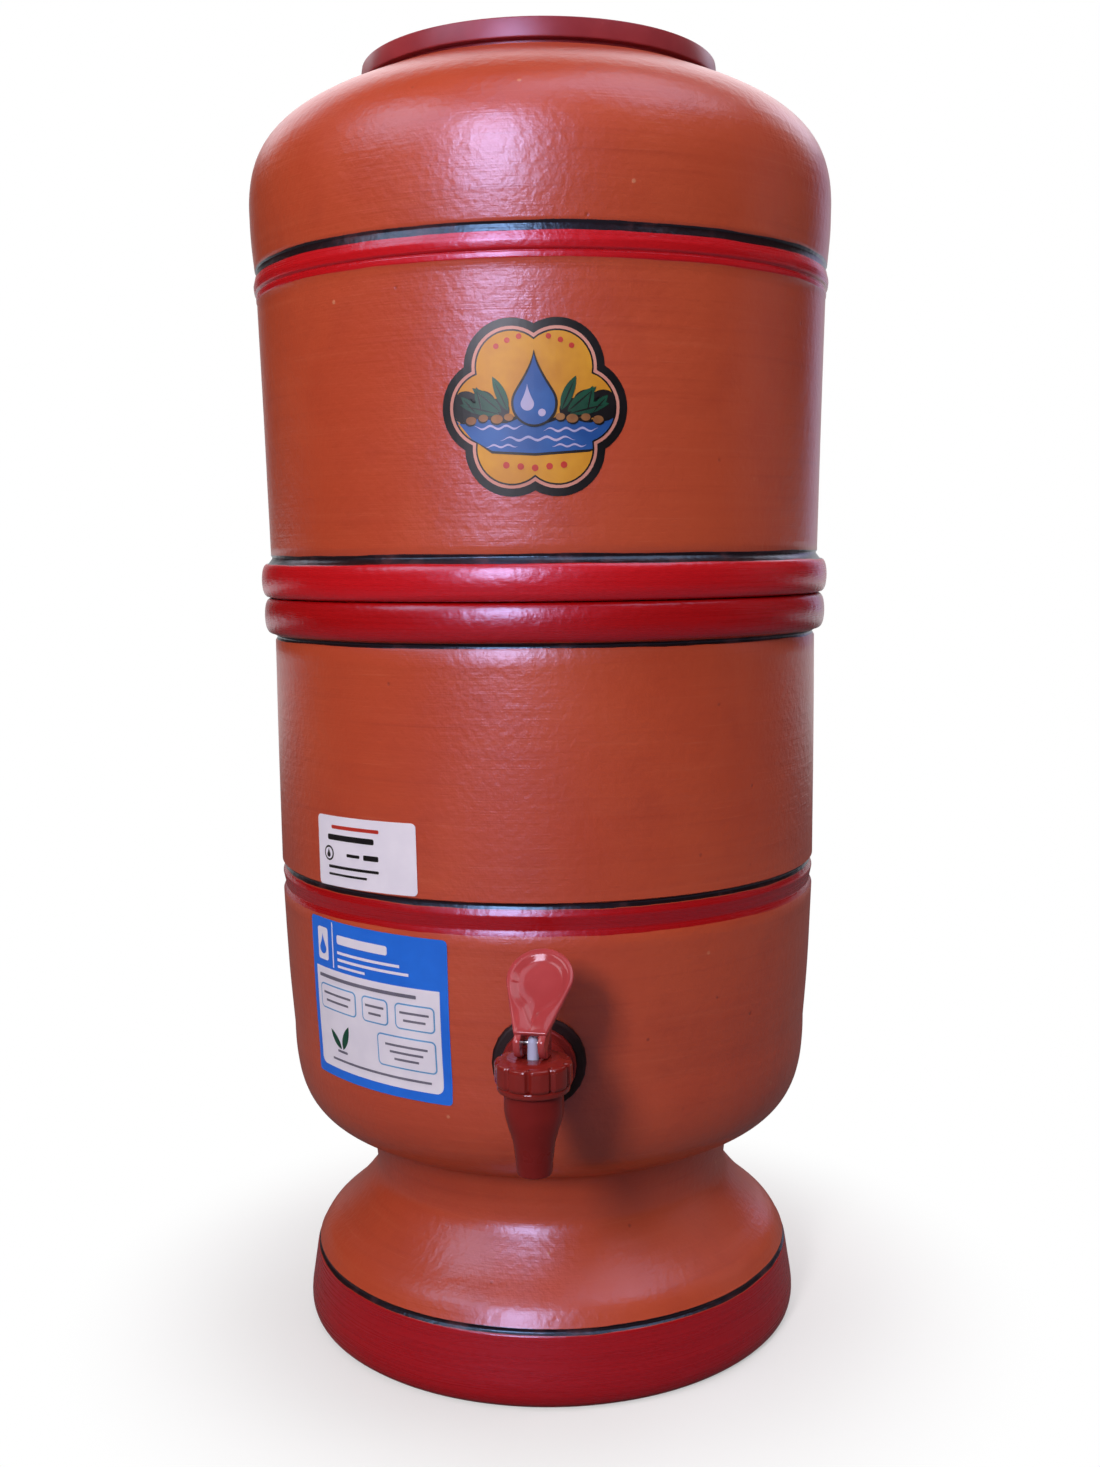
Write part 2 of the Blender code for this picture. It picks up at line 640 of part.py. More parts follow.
def candle_fixings():
    bore = OUTLET_RADIUS + SEAT_GAP
    seal_bottom = FLOOR_TOP + SEAT_GAP
    ring("candle_gasket", bore, SEAL_RADIUS, seal_bottom, SEAL_THICKNESS, 20, RUBBER)
    washer_bottom = WASHER_TOP - WASHER_THICKNESS
    ring("candle_washer", bore, WASHER_RADIUS, washer_bottom, WASHER_THICKNESS, 20, RUBBER)
    bottom = NUT_TOP - NUT_HEIGHT
    hub = [
        (bore, bottom),
        (NUT_RADIUS - 0.0008, bottom),
        (NUT_RADIUS, bottom + 0.0008),
        (NUT_RADIUS, NUT_TOP - 0.0008),
        (NUT_RADIUS + 0.0010, NUT_TOP),
        (bore, NUT_TOP),
    ]
    nut = piece("candle_wing_nut", lathe_mesh("candle_wing_nut", hub, 20), WHITE_PLASTIC, AXIS)
    half = WING_THICKNESS / 2
    for side in (1, -1):
        outline = [
            (NUT_RADIUS - 0.0012, bottom + 0.0020),
            (WING_REACH - 0.0025, bottom),
            (WING_REACH, bottom + 0.0025),
            (WING_REACH, NUT_TOP - 0.0025),
            (WING_REACH - 0.0025, NUT_TOP - 0.0010),
            (NUT_RADIUS - 0.0012, NUT_TOP - 0.0030),
        ]
        rings = [[(side * r, y, z) for r, z in outline] for y in (-half, half)]
        shape(nut, prism_mesh("wing", rings), "UNION")


def float_valve_body():
    bottom = VALVE_TOP - VALVE_HEIGHT
    thread = OUTLET_RADIUS + SEAT_GAP
    thread_end = min(OUTLET_END - SEAT_GAP, bottom + VALVE_END_WALL)
    hub = [
        (NOZZLE_BORE, NOZZLE_TIP),
        (NOZZLE_RADIUS - 0.0010, NOZZLE_TIP),
        (NOZZLE_RADIUS, NOZZLE_TIP + 0.0010),
        (NOZZLE_RADIUS, bottom),
        (VALVE_RADIUS - 0.0010, bottom),
        (VALVE_RADIUS, bottom + 0.0010),
        (VALVE_RADIUS, VALVE_TOP),
        (thread, VALVE_TOP),
        (thread, thread_end),
        (NOZZLE_BORE, thread_end),
    ]
    mesh = lathe_mesh("float_valve_body", hub, 20)
    body = piece("float_valve_body", mesh, WHITE_PLASTIC, AXIS)
    gap = ARM_WIDTH / 2 + ARM_PLAY
    for side in (1, -1):
        profile = ellipse_arc((-PIVOT_OFFSET, PIVOT_HEIGHT), EAR_RADIUS, EAR_RADIUS, 180, 360, 8)
        profile += [
            (-PIVOT_OFFSET + EAR_RADIUS, bottom + 0.0030),
            (-PIVOT_OFFSET - EAR_RADIUS * 0.4, bottom + 0.0030),
            (-PIVOT_OFFSET - EAR_RADIUS, bottom - 0.0020),
        ]
        levels = (side * gap, side * (gap + EAR_THICKNESS))
        rings = [[(x, y, z) for x, z in profile] for y in levels]
        shape(body, prism_mesh("ear", rings), "UNION")
    hole = rod_mesh("float_pin_hole", FLOAT_PIN_RADIUS + PIN_GAP, -0.02, 0.02, 12)
    shape(body, turned(hole, ALONG_Y), "DIFFERENCE", (-PIVOT_OFFSET, 0, PIVOT_HEIGHT))
    length = gap + EAR_THICKNESS
    pin = rod_mesh("float_pin", FLOAT_PIN_RADIUS, -length, length, 12, 0.0003)
    place = AXIS + Vector((-PIVOT_OFFSET, 0, PIVOT_HEIGHT))
    piece("float_pin", turned(pin, ALONG_Y), STEEL, place)


def float_pieces():
    """Arm, pad and ball, built level as when shut and stored hanging down."""
    pivot = AXIS + Vector((-PIVOT_OFFSET, 0, PIVOT_HEIGHT))
    hang = (0, FLOAT_RISE, 0)
    half = ARM_BAR / 2
    barrel = ellipse_arc((0, 0), EAR_RADIUS, EAR_RADIUS, 55, 305, 12)
    neck = ARM_LENGTH - 0.0020
    profile = barrel + [(neck, -half), (ARM_LENGTH, -half + 0.0010),
                        (ARM_LENGTH, half - 0.0010), (neck, half)]
    rings = [[(x, y, z) for x, z in profile] for y in (-ARM_WIDTH / 2, ARM_WIDTH / 2)]
    arm = piece("float_arm", prism_mesh("float_arm", rings), WHITE_PLASTIC, pivot, hang)
    pad_top = PIVOT_DROP - SEAT_GAP
    pad_floor = pad_top - PAD_THICKNESS
    cup_top = pad_floor - SEAT_GAP + PAD_POCKET
    pocket = PAD_RADIUS + SEAT_GAP
    cup = [
        (0.0, 0.0004),
        (PAD_RADIUS + 0.0016, 0.0004),
        (PAD_RADIUS + 0.0016, cup_top),
        (pocket, cup_top),
        (pocket, pad_floor - SEAT_GAP),
        (0.0, pad_floor - SEAT_GAP),
    ]
    shape(arm, lathe_mesh("pad_cup", cup, 16), "UNION", (PIVOT_OFFSET, 0, 0))
    peg = rod_mesh("peg", PEG_RADIUS, -0.004, PEG_LENGTH, 16)
    shape(arm, turned(peg, ALONG_X), "UNION", (ARM_LENGTH, 0, 0))
    hole = rod_mesh("arm_pin_hole", FLOAT_PIN_RADIUS + PIN_GAP, -ARM_WIDTH, ARM_WIDTH, 12)
    shape(arm, turned(hole, ALONG_Y), "DIFFERENCE")

    pad = rod_mesh("float_pad", PAD_RADIUS, pad_floor, pad_top, 16)
    pad.transform(Matrix.Translation((PIVOT_OFFSET, 0, 0)))
    piece("float_pad", pad, RUBBER, pivot, hang)

    socket = PEG_RADIUS + SEAT_GAP
    start = ARM_LENGTH + SEAT_GAP
    centre = start + FLOAT_RADIUS
    hollow = FLOAT_RADIUS - FLOAT_WALL
    mouth = math.degrees(math.asin(socket / FLOAT_RADIUS))
    neck_inner = socket + FLOAT_WALL
    hollow_mouth = math.degrees(math.asin(neck_inner / hollow))
    outline = ellipse_arc((0, centre), FLOAT_RADIUS, FLOAT_RADIUS, mouth - 90, 90, 9)[:-1]
    outline += [(0.0, centre + FLOAT_RADIUS), (0.0, centre + hollow)]
    outline += ellipse_arc((0, centre), hollow, hollow, 90, hollow_mouth - 90, 6)[1:]
    outline += [(neck_inner, start + PEG_LENGTH), (socket, start + PEG_LENGTH)]
    ball = turned(lathe_mesh("float_ball", outline, 18), ALONG_X)
    piece("float_ball", ball, WHITE_PLASTIC, pivot, hang)


# Tap

def tap_body():
    """Upright chamber and spout, with the arm, flange and threaded shank behind."""
    bottom = TAP_HEIGHT - SPOUT_DROP
    shoulder = TAP_HEIGHT - 0.0010
    upright = [
        (0.0, bottom),
        (SPOUT_RADIUS - 0.0003, bottom),
        (SPOUT_RADIUS, bottom + 0.0004),
    ]
    tube_top = (SPOUT_RADIUS + SPOUT_DRAFT, bottom + 0.4 * SPOUT_DROP)
    rise = shoulder - tube_top[1]
    upright += [tube_top]
    upright += bezier(
        tube_top,
        (tube_top[0] + 0.0004, tube_top[1] + 0.32 * rise),
        (NECK_RADIUS - 0.0005, shoulder - 0.38 * rise),
        (NECK_RADIUS, shoulder),
        5,
    )
    upright += [
        (NECK_RADIUS, NECK_TOP - 0.0005),
        (NECK_RADIUS - 0.0005, NECK_TOP),
        (0.0, NECK_TOP),
    ]
    place = (0, TAP_Y, 0)
    body = piece("tap_body", lathe_mesh("tap_body", upright, SMALL_FACETS), TAP_PLASTIC, place)
    flange_back = TAP_STANDOFF - SEAT_GAP - OUTER_GASKET - SEAT_GAP
    flange_front = flange_back - FLANGE_THICKNESS
    thread_end = flange_back + SHANK_LENGTH
    clear = BONNET_RADIUS + 0.0010
    arm = [
        (0.0, 0.0),
        (ARM_RADIUS, 0.0),
        (ARM_RADIUS, clear),
        (ARM_RADIUS + 0.0018, clear + 0.0060),
        (SHANK_RADIUS + 0.0006, flange_front - 0.0080),
        (RING_RADIUS - 0.0012, flange_front - 0.0032),
        (RING_RADIUS, flange_front - 0.0026),
        (RING_RADIUS, flange_front),
        (FLANGE_RADIUS - 0.0006, flange_front),
        (FLANGE_RADIUS, flange_front + 0.0006),
        (FLANGE_RADIUS, flange_back),
        (SHANK_RADIUS, flange_back),
        (SHANK_RADIUS, thread_end - 0.0010),
        (SHANK_RADIUS - 0.0010, thread_end),
        (0.0, thread_end),
    ]
    arm_mesh = turned(lathe_mesh("tap_arm", arm, 22), ALONG_Y)
    shape(body, arm_mesh, "UNION", (0, 0, TAP_HEIGHT))
    floor = SEAT_HEIGHT - 0.0006
    chamber = [
        (0.0, NECK_TOP + 0.002),
        (CHAMBER_RADIUS, NECK_TOP + 0.002),
        (CHAMBER_RADIUS, SEAT_HEIGHT + 0.0029),
        (CHAMBER_RADIUS - 0.0011, floor),
        (SEAT_BORE + SEAT_LIP, floor),
        (SEAT_BORE + SEAT_LIP, SEAT_HEIGHT),
        (SEAT_BORE, SEAT_HEIGHT),
        (SEAT_BORE, SEAT_HEIGHT - 0.0020),
        (SPOUT_BORE, bottom - 0.001),
        (0.0, bottom - 0.001),
    ]
    shape(body, lathe_mesh("tap_chamber", chamber, 20), "DIFFERENCE")
    inlet = rod_mesh("tap_inlet", SHANK_BORE, CHAMBER_RADIUS / 2, thread_end + 0.002, 16)
    shape(body, turned(inlet, ALONG_Y), "DIFFERENCE", (0, 0, TAP_HEIGHT))


def tap_fixings():
    """Gaskets shaped to the clay on both sides of the wall, and the nut inside."""
    wall_front = TAP_STANDOFF
    wall_back = TAP_STANDOFF + WALL_DEPTH_AT_TAP
    bore = SHANK_RADIUS + SEAT_GAP
    low = TAP_HEIGHT - 2 * OUTER_GASKET_RADIUS
    spread = 0.0040
    envelope = [p for p in lower_side() if p[1] > low]
    envelope = [(0.0, envelope[0][1])] + envelope + [(0.0, envelope[-1][1])]
    outside = [(r + (SEAT_GAP if r else 0.0), z) for r, z in envelope]
    front = wall_front - SEAT_GAP - OUTER_GASKET
    rim = OUTER_GASKET_RADIUS
    outline = [
        (bore, front),
        (rim - 0.0008, front),
        (rim, front + 0.0008),
        (rim, front + OUTER_GASKET + spread),
        (bore, front + OUTER_GASKET + spread),
    ]
    mesh = turned(lathe_mesh("tap_outer_gasket", outline, SMALL_FACETS), ALONG_Y)
    gasket = piece("tap_outer_gasket", mesh, RUBBER, (0, TAP_Y, TAP_HEIGHT))
    to_axis = (0, AXIS.y - TAP_Y, -TAP_HEIGHT)
    shape(gasket, lathe_mesh("wall_outside", outside, VESSEL_FACETS), "DIFFERENCE", to_axis)

    back = wall_back + SEAT_GAP + INNER_GASKET
    inner_side = moved_in(lower_side(), LOWER_WALL)
    inner_side = [p for p in inner_side if p[1] > low]
    inner_side = [(0.0, inner_side[0][1])] + inner_side + [(0.0, inner_side[-1][1])]
    inside = [(max(r - SEAT_GAP, 0.0), z) for r, z in inner_side]
    rim = INNER_GASKET_RADIUS
    outline = [
        (bore, back - INNER_GASKET - spread),
        (rim, back - INNER_GASKET - spread),
        (rim, back),
        (bore, back),
    ]
    mesh = turned(lathe_mesh("tap_inner_gasket", outline, 20), ALONG_Y)
    gasket = piece("tap_inner_gasket", mesh, RUBBER, (0, TAP_Y, TAP_HEIGHT))
    shape(gasket, lathe_mesh("wall_inside", inside, VESSEL_FACETS), "INTERSECT", to_axis)

    nut_front = back + SEAT_GAP
    corner = SHANK_NUT_FLATS / 2 / math.cos(math.radians(30))
    hexagon = ellipse_arc((0, 0), corner, corner, 0, 300, 5)
    levels = (nut_front, nut_front + SHANK_NUT_HEIGHT)
    rings = [[(x, y, z) for x, z in hexagon] for y in levels]
    nut = piece("tap_shank_nut", prism_mesh("tap_shank_nut", rings), WHITE_PLASTIC,
                (0, TAP_Y, TAP_HEIGHT))
    hole = rod_mesh("nut_bore", bore, levels[0] - 0.002, levels[1] + 0.002, 20)
    shape(nut, turned(hole, ALONG_Y), "DIFFERENCE")


def bonnet():
    """Fluted cap that screws on the neck and holds the seat cup down."""
    bore = NECK_RADIUS + SEAT_GAP
    stem_hole = STEM_RADIUS + STEM_PLAY
    side_top = BONNET_TOP - BONNET_SLOPE
    outline = [
        (bore, BONNET_BOTTOM),
        (BONNET_FOOT_RADIUS, BONNET_BOTTOM),
        (BONNET_RADIUS, BONNET_BOTTOM + BONNET_CHAMFER),
        (BONNET_RADIUS, BONNET_BOTTOM + BONNET_CHAMFER + 0.0003),
        (BONNET_RADIUS, side_top - 0.0003),
        (BONNET_RADIUS, side_top),
        (BONNET_TOP_RADIUS, BONNET_TOP),
        (stem_hole, BONNET_TOP),
        (stem_hole, BONNET_CEILING),
        (bore, BONNET_CEILING),
    ]
    per_flute = 5
    facets = BONNET_FLUTES * per_flute

    def ripple(facet, point):
        fluted = point in (3, 4) and facet % per_flute < 2
        return -BONNET_FLUTE_DEPTH if fluted else 0.0

    mesh = lathe_mesh("tap_bonnet", outline, facets, ripple)
    front = -math.pi / 2 - math.tau / facets / 2
    piece("tap_bonnet", mesh, TAP_PLASTIC, (0, TAP_Y, 0), (0, 0, front))


def seat_cup():
    """Silicone cup: clamped flange, thin bellows and the plug that shuts the seat."""
    flange_bottom = NECK_TOP + SEAT_GAP
    flange_top = flange_bottom + CUP_FLANGE
    rod = STEM_RADIUS + STEM_PLAY
    bead_room = STEM_BEAD_RADIUS + STEM_PLAY
    plug_top = CUP_BOTTOM + CUP_PLUG_HEIGHT
    sleeve = flange_bottom - plug_top
    bellows = rod + CUP_WALL
    floor = stem_bottom() - SEAT_GAP
    outline = [
        (0.0, CUP_BOTTOM),
        (CUP_PLUG_RADIUS - 0.0008, CUP_BOTTOM),
        (CUP_PLUG_RADIUS, CUP_BOTTOM + 0.0008),
        (CUP_PLUG_RADIUS, plug_top - 0.0006),
        (bellows, plug_top),
        (bellows + 0.0010, plug_top + 0.25 * sleeve),
        (bellows, plug_top + 0.50 * sleeve),
        (bellows + 0.0012, plug_top + 0.75 * sleeve),
        (bellows + 0.0006, flange_bottom),
        (NECK_RADIUS - 0.0002, flange_bottom),
        (NECK_RADIUS - 0.0002, flange_top),
        (rod + 0.0008, flange_top),
        (rod, flange_top - 0.0010),
        (rod, floor + STEM_BEAD_HEIGHT + 0.0012),
        (bead_room, floor + STEM_BEAD_HEIGHT + 0.0006),
        (bead_room, floor),
        (0.0, floor),
    ]
    piece("tap_seat_cup", lathe_mesh("tap_seat_cup", outline, 16), SILICONE, (0, TAP_Y, 0))


def stem_bottom():
    return CUP_BOTTOM + CUP_PLUG_FLOOR + SEAT_GAP


def stem():
    bottom = stem_bottom()
    top = LEVER_PIN_HEIGHT
    outline = [
        (0.0, bottom),
        (STEM_BEAD_RADIUS - 0.0006, bottom),
        (STEM_BEAD_RADIUS, bottom + 0.0006),
        (STEM_BEAD_RADIUS, bottom + STEM_BEAD_HEIGHT - 0.0006),
        (STEM_RADIUS, bottom + STEM_BEAD_HEIGHT),
        (STEM_RADIUS, top),
    ]
    outline += ellipse_arc((0, top), STEM_RADIUS, STEM_TOP_ROUND, 0, 90, 4)[1:-1]
    outline += [(0.0, top + STEM_TOP_ROUND)]
    mesh = lathe_mesh("tap_stem", outline, 16)
    rod = piece("tap_stem", mesh, WHITE_PLASTIC, (0, TAP_Y, 0), (0, 0, LEVER_YAW))
    hole = rod_mesh("stem_pin_hole", LEVER_PIN_RADIUS + PIN_GAP, -0.01, 0.01, 12)
    shape(rod, turned(hole, ALONG_X), "DIFFERENCE", (0, 0, LEVER_PIN_HEIGHT))
    half = CHEEK_GAP / 2 + CHEEK_THICKNESS
    pin = rod_mesh("tap_lever_pin", LEVER_PIN_RADIUS, -half, half, 12, 0.0003)
    place = (0, TAP_Y, LEVER_PIN_HEIGHT)
    piece("tap_lever_pin", turned(pin, ALONG_X), STEEL, place, (0, 0, LEVER_YAW))


def cam_point(tilt):
    """Point of the heel that lies lowest when the lever has this tilt.

    The heel lies on a flat bonnet, so its height under the pin has to grow evenly
    with the tilt: the heel radius at rest plus CAM_RATE for each radian.
    """
    height = HEEL_RADIUS + CAM_RATE * (tilt + LEVER_LEAN)
    down = Vector((-math.sin(tilt), -math.cos(tilt)))
    ahead = Vector((-math.cos(tilt), math.sin(tilt)))
    return tuple(height * down + CAM_RATE * ahead)


def at_rest(forward, up):
    """Place on the lever of a point given from the pin with the tap shut."""
    back = Matrix.Rotation(LEVER_LEAN, 2)
    return tuple(back @ Vector((-forward, up)))


def cheek_outline():
    """Side view of a cheek as (depth, height) round the pin at (0, 0)."""
    steps = 9
    root = PADDLE_THICKNESS / 2 - PADDLE_FRONT
    open_height = HEEL_RADIUS + VALVE_LIFT
    points = [at_rest(-HEEL_BACK, -HEEL_RADIUS)]
    points += [cam_point(LEVER_TRAVEL * i / steps - LEVER_LEAN) for i in range(steps + 1)]
    points += [
        at_rest(open_height, CAM_RATE + 0.0008),
        (root, PADDLE_FOOT + 0.0008),
        (root, PADDLE_FOOT + 0.0100),
        at_rest(-CHEEK_BACK, HEEL_RADIUS),
        at_rest(-CHEEK_BACK, -HEEL_RADIUS + 0.0012),
    ]
    return points


def teardrop(centre, radius, tail, steps):
    """A round head at the centre height that runs down to a pointed tail."""
    reach = centre - tail
    lean = math.degrees(math.acos(min(radius / reach, 0.98)))
    points = ellipse_arc((0, centre), radius, radius, -90 + lean, 270 - lean, steps)
    return points + [(0.0, tail)]


def lever():
    """Paddle with a finger dish, and two cheeks whose heels are the cam."""
    centre = PADDLE_TIP - PADDLE_RADIUS
    foot = PADDLE_FOOT_WIDTH / 2
    side = math.atan2(PADDLE_RADIUS - foot, centre - PADDLE_FOOT)
    start = -math.degrees(side)
    outline = ellipse_arc((0, centre), PADDLE_RADIUS, PADDLE_RADIUS, start, 180 - start, 16)
    outline += [(-foot, PADDLE_FOOT), (foot, PADDLE_FOOT)]
    edge = 0.0004
    drawn = [(x * (1 - edge / PADDLE_RADIUS), centre + (z - centre) * (1 - edge / PADDLE_RADIUS))
             for x, z in outline]
    rings = []
    front = -PADDLE_FRONT
    back = front + PADDLE_THICKNESS
    levels = ((front, drawn), (front + edge, outline), (back - edge, outline), (back, drawn))
    for y, points in levels:
        rings.append([(x, y, z) for x, z in points])
    turn = (-LEVER_LEAN, 0, LEVER_YAW)
    place = (0, TAP_Y, LEVER_PIN_HEIGHT)
    paddle = piece("tap_lever", prism_mesh("tap_lever", rings), TAP_PLASTIC, place, turn)
    profile = cheek_outline()
    for sign in (1, -1):
        inner = sign * CHEEK_GAP / 2
        outer = sign * (CHEEK_GAP / 2 + CHEEK_THICKNESS)
        rings = [[(x, y, z) for y, z in profile] for x in (inner, outer)]
        shape(paddle, prism_mesh("cheek", rings), "UNION")
    tail = PADDLE_FOOT + DISH_TAIL
    wide = teardrop(centre, DISH_RADIUS, tail, 14)
    narrow = teardrop(centre, DISH_RADIUS - DISH_SLOPE, tail + 1.6 * DISH_SLOPE, 14)
    levels = ((front - DISH_DEPTH, wide), (front, wide), (front + DISH_DEPTH, narrow))
    rings = [[(x, y, z) for x, z in points] for y, points in levels]
    shape(paddle, prism_mesh("dish", rings), "DIFFERENCE")
    hole = rod_mesh("lever_pin_hole", LEVER_PIN_RADIUS + PIN_GAP, -0.01, 0.01, 12)
    shape(paddle, turned(hole, ALONG_X), "DIFFERENCE")


# Placing that depends on the vessel's own outline
WALL_AT_TAP = radius_at(lower_side(), TAP_HEIGHT)
WALL_DEPTH_AT_TAP = WALL_AT_TAP - radius_at(moved_in(lower_side(), LOWER_WALL), TAP_HEIGHT)
TAP_REACH = WALL_AT_TAP + TAP_STANDOFF
FRONT_REACH = TAP_REACH + BONNET_RADIUS
AXIS = Vector((0, (FRONT_REACH - SHOULDER_RADIUS) / 2, 0))
TAP_Y = AXIS.y - TAP_REACH


def main():
    for obj in list(bpy.data.objects):
        bpy.data.objects.remove(obj, do_unlink=True)
    lower_vessel()
    upper_vessel()
    lid()
    candle()
    candle_fixings()
    float_valve_body()
    float_pieces()
    tap_body()
    tap_fixings()
    bonnet()
    seat_cup()
    stem()
    lever()


main()
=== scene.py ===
from math import atan2, ceil, cos, degrees, dist, hypot, pi, radians, sin, sqrt, tau

import bmesh
import bpy
from mathutils import Matrix, Vector, noise


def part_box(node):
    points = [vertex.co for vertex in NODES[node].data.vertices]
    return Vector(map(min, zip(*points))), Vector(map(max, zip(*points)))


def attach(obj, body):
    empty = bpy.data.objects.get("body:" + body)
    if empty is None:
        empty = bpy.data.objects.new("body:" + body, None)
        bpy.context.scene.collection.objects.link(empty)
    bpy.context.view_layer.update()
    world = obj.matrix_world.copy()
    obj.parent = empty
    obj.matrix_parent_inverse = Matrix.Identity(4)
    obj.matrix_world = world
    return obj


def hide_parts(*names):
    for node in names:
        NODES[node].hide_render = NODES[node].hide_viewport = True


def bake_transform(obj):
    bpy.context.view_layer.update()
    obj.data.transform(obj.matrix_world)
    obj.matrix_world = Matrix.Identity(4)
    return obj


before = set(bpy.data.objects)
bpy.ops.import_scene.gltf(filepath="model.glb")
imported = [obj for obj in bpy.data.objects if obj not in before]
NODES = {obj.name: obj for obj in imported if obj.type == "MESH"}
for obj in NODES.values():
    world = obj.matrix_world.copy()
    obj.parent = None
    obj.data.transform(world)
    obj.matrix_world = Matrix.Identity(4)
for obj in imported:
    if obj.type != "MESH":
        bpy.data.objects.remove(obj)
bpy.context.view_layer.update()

MM = 0.001


def middle_of(node):
    low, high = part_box(node)
    return (low + high) / 2


AXIS_Y = middle_of("upper_vessel").y  # the vessels' own axis
TAP_Y = middle_of("tap_bonnet").y  # the tap's upright axis
PIN_Z = middle_of("tap_lever_pin").z
BONNET_LOW, BONNET_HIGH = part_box("tap_bonnet")

# Sizes in mm, with points as radius and height
BASE_BAND_TOP = 28.3
FOLD = (79.9, 82.4)  # where the foot's neck meets the bowl
HOLLOW_TOP = 73.3  # ceiling of the hollow foot
BOWL = (108.9, 127.8)  # where the bowl turns into the side
LOW_BAND = (184.8, 197.8)
LOWER_BEAD = 291.4
LOWER_RIM = 305.7
UPPER_BASE = 306.0
UPPER_BEAD = 319.7  # top of the upper vessel's bead
UPPER_RADIUS = 113.2
UPPER_MIDDLE = (114.3, 372.0)
TOP_BAND = (423.1, 435.8)
TOP_BAND_RADIUS = 115.7
SHOULDER = (117.7, 459.8)  # widest point
RIM_TOP = 506.4
LINE = 3.0  # black line beside a red band
WALL = 9.8
FOOT_WALL = 9.0
DENT = 0.16  # deepest hand-made dent
LONGEST = 6.0  # longest side of a clay outline
FACETS = 144  # of the vessels and the lid
BONNET_RADIUS = 13.25

# Lever of the tap, in mm from its pin
LEVER_YAW = radians(-10.5)
LEVER_LEAN = radians(47.0)  # towards the vessel, with the tap shut
LEVER_TRAVEL = pi / 2
VALVE_LIFT = 2.5
HEEL = 4.6
PADDLE_HEAD = 11.6  # radius of the round end
PADDLE_CENTRE = 33.0 - PADDLE_HEAD
PADDLE_FOOT = -0.5  # lower edge
PADDLE_FOOT_REACH = 5.6  # half of the lower edge


# Outlines, in mm

def bezier(a, b, c, d, steps):
    """Points of a cubic curve from a to d, without a itself."""
    points = []
    for i in range(1, steps + 1):
        t = i / steps
        s = 1 - t
        weights = (s * s * s, 3 * s * s * t, 3 * s * t * t, t * t * t)
        points.append(tuple(
            sum(w * p[k] for w, p in zip(weights, (a, b, c, d))) for k in (0, 1)
        ))
    return points


def arc(centre, half_width, half_height, start, end, steps):
    """Points of an ellipse arc, both ends included, angles in degrees."""
    angles = [radians(start + (end - start) * i / steps) for i in range(steps + 1)]
    return [(centre[0] + half_width * cos(a), centre[1] + half_height * sin(a)) for a in angles]


def curve_through(points, steps):
    """A smooth curve through all the points of an open outline."""
    out = [points[0]]
    for i in range(len(points) - 1):
        before = points[max(i - 1, 0)]
        a, d = points[i], points[i + 1]
        after = points[min(i + 2, len(points) - 1)]
        b = tuple(a[k] + (d[k] - before[k]) / 6 for k in (0, 1))
        c = tuple(d[k] - (after[k] - a[k]) / 6 for k in (0, 1))
        out += bezier(a, b, c, d, steps)
    return out


def softened(points, size, closed=False, steps=3, least=14):
    """An outline whose corners above a least angle are rounded off."""
    out = []
    count = len(points)
    for i, point in enumerate(points):
        before = Vector(points[i - 1]) - Vector(point)
        after = Vector(points[(i + 1) % count]) - Vector(point)
        kept = not closed and i in (0, count - 1)
        kept = kept or before.length < 1e-6 or after.length < 1e-6 or point[0] < 1e-6
        if kept or pi - before.angle(after) < radians(least):
            out.append(point)
            continue
        reach = min(size, 0.42 * before.length, 0.42 * after.length)
        a = Vector(point) + before.normalized() * reach
        b = Vector(point) + after.normalized() * reach
        for k in range(steps + 1):
            t = k / steps
            out.append(tuple(a * (1 - t) ** 2 + 2 * t * (1 - t) * Vector(point) + b * t * t))
    return out


def close_set(points, longest):
    """The same closed outline with no side longer than a length."""
    out = []
    for a, b in zip(points, points[1:] + points[:1]):
        out.append(a)
        length = dist(a, b)
        parts = int(length // longest)
        if a[0] < 1e-6 and b[0] < 1e-6:
            continue
        for k in range(1, parts + 1):
            t = k / (parts + 1)
            out.append((a[0] + (b[0] - a[0]) * t, a[1] + (b[1] - a[1]) * t))
    return out


def bead(radius, bottom, height, swell):
    """A full rounded moulding that stands out from a wall."""
    angles = [radians(-86 + 172 * i / 14) for i in range(15)]
    return [(radius + swell * sqrt(cos(a)), bottom + height / 2 * (1 + sin(a))) for a in angles]


def moved_in(points, wall):
    """An outline that runs up the outer side, moved in by a wall's thickness."""
    inner = []
    for i, (r, z) in enumerate(points):
        before = points[max(i - 1, 0)]
        after = points[min(i + 1, len(points) - 1)]
        along = Vector((after[0] - before[0], after[1] - before[1])).normalized()
        inner.append((r - wall * along.y, z + wall * along.x))
    return inner


# Meshes and pieces

def mesh_of(bm, name):
    mesh = bpy.data.meshes.new(name)
    bm.to_mesh(mesh)
    bm.free()
    return mesh


def linked(name, data):
    obj = bpy.data.objects.new(name, data)
    bpy.context.scene.collection.objects.link(obj)
    return obj


def shown(name, mesh, material, body, node=None):
    """A new piece, joined to a body if one is named, that hides a node if one is named.
    """
    obj = linked(name, mesh)
    mesh.materials.append(material)
    if body:
        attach(obj, body)
    if node:
        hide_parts(node)
    return obj


def smooth(mesh, angle=40):
    mesh.shade_smooth()
    mesh.set_sharp_from_angle(angle=radians(angle))
    return mesh


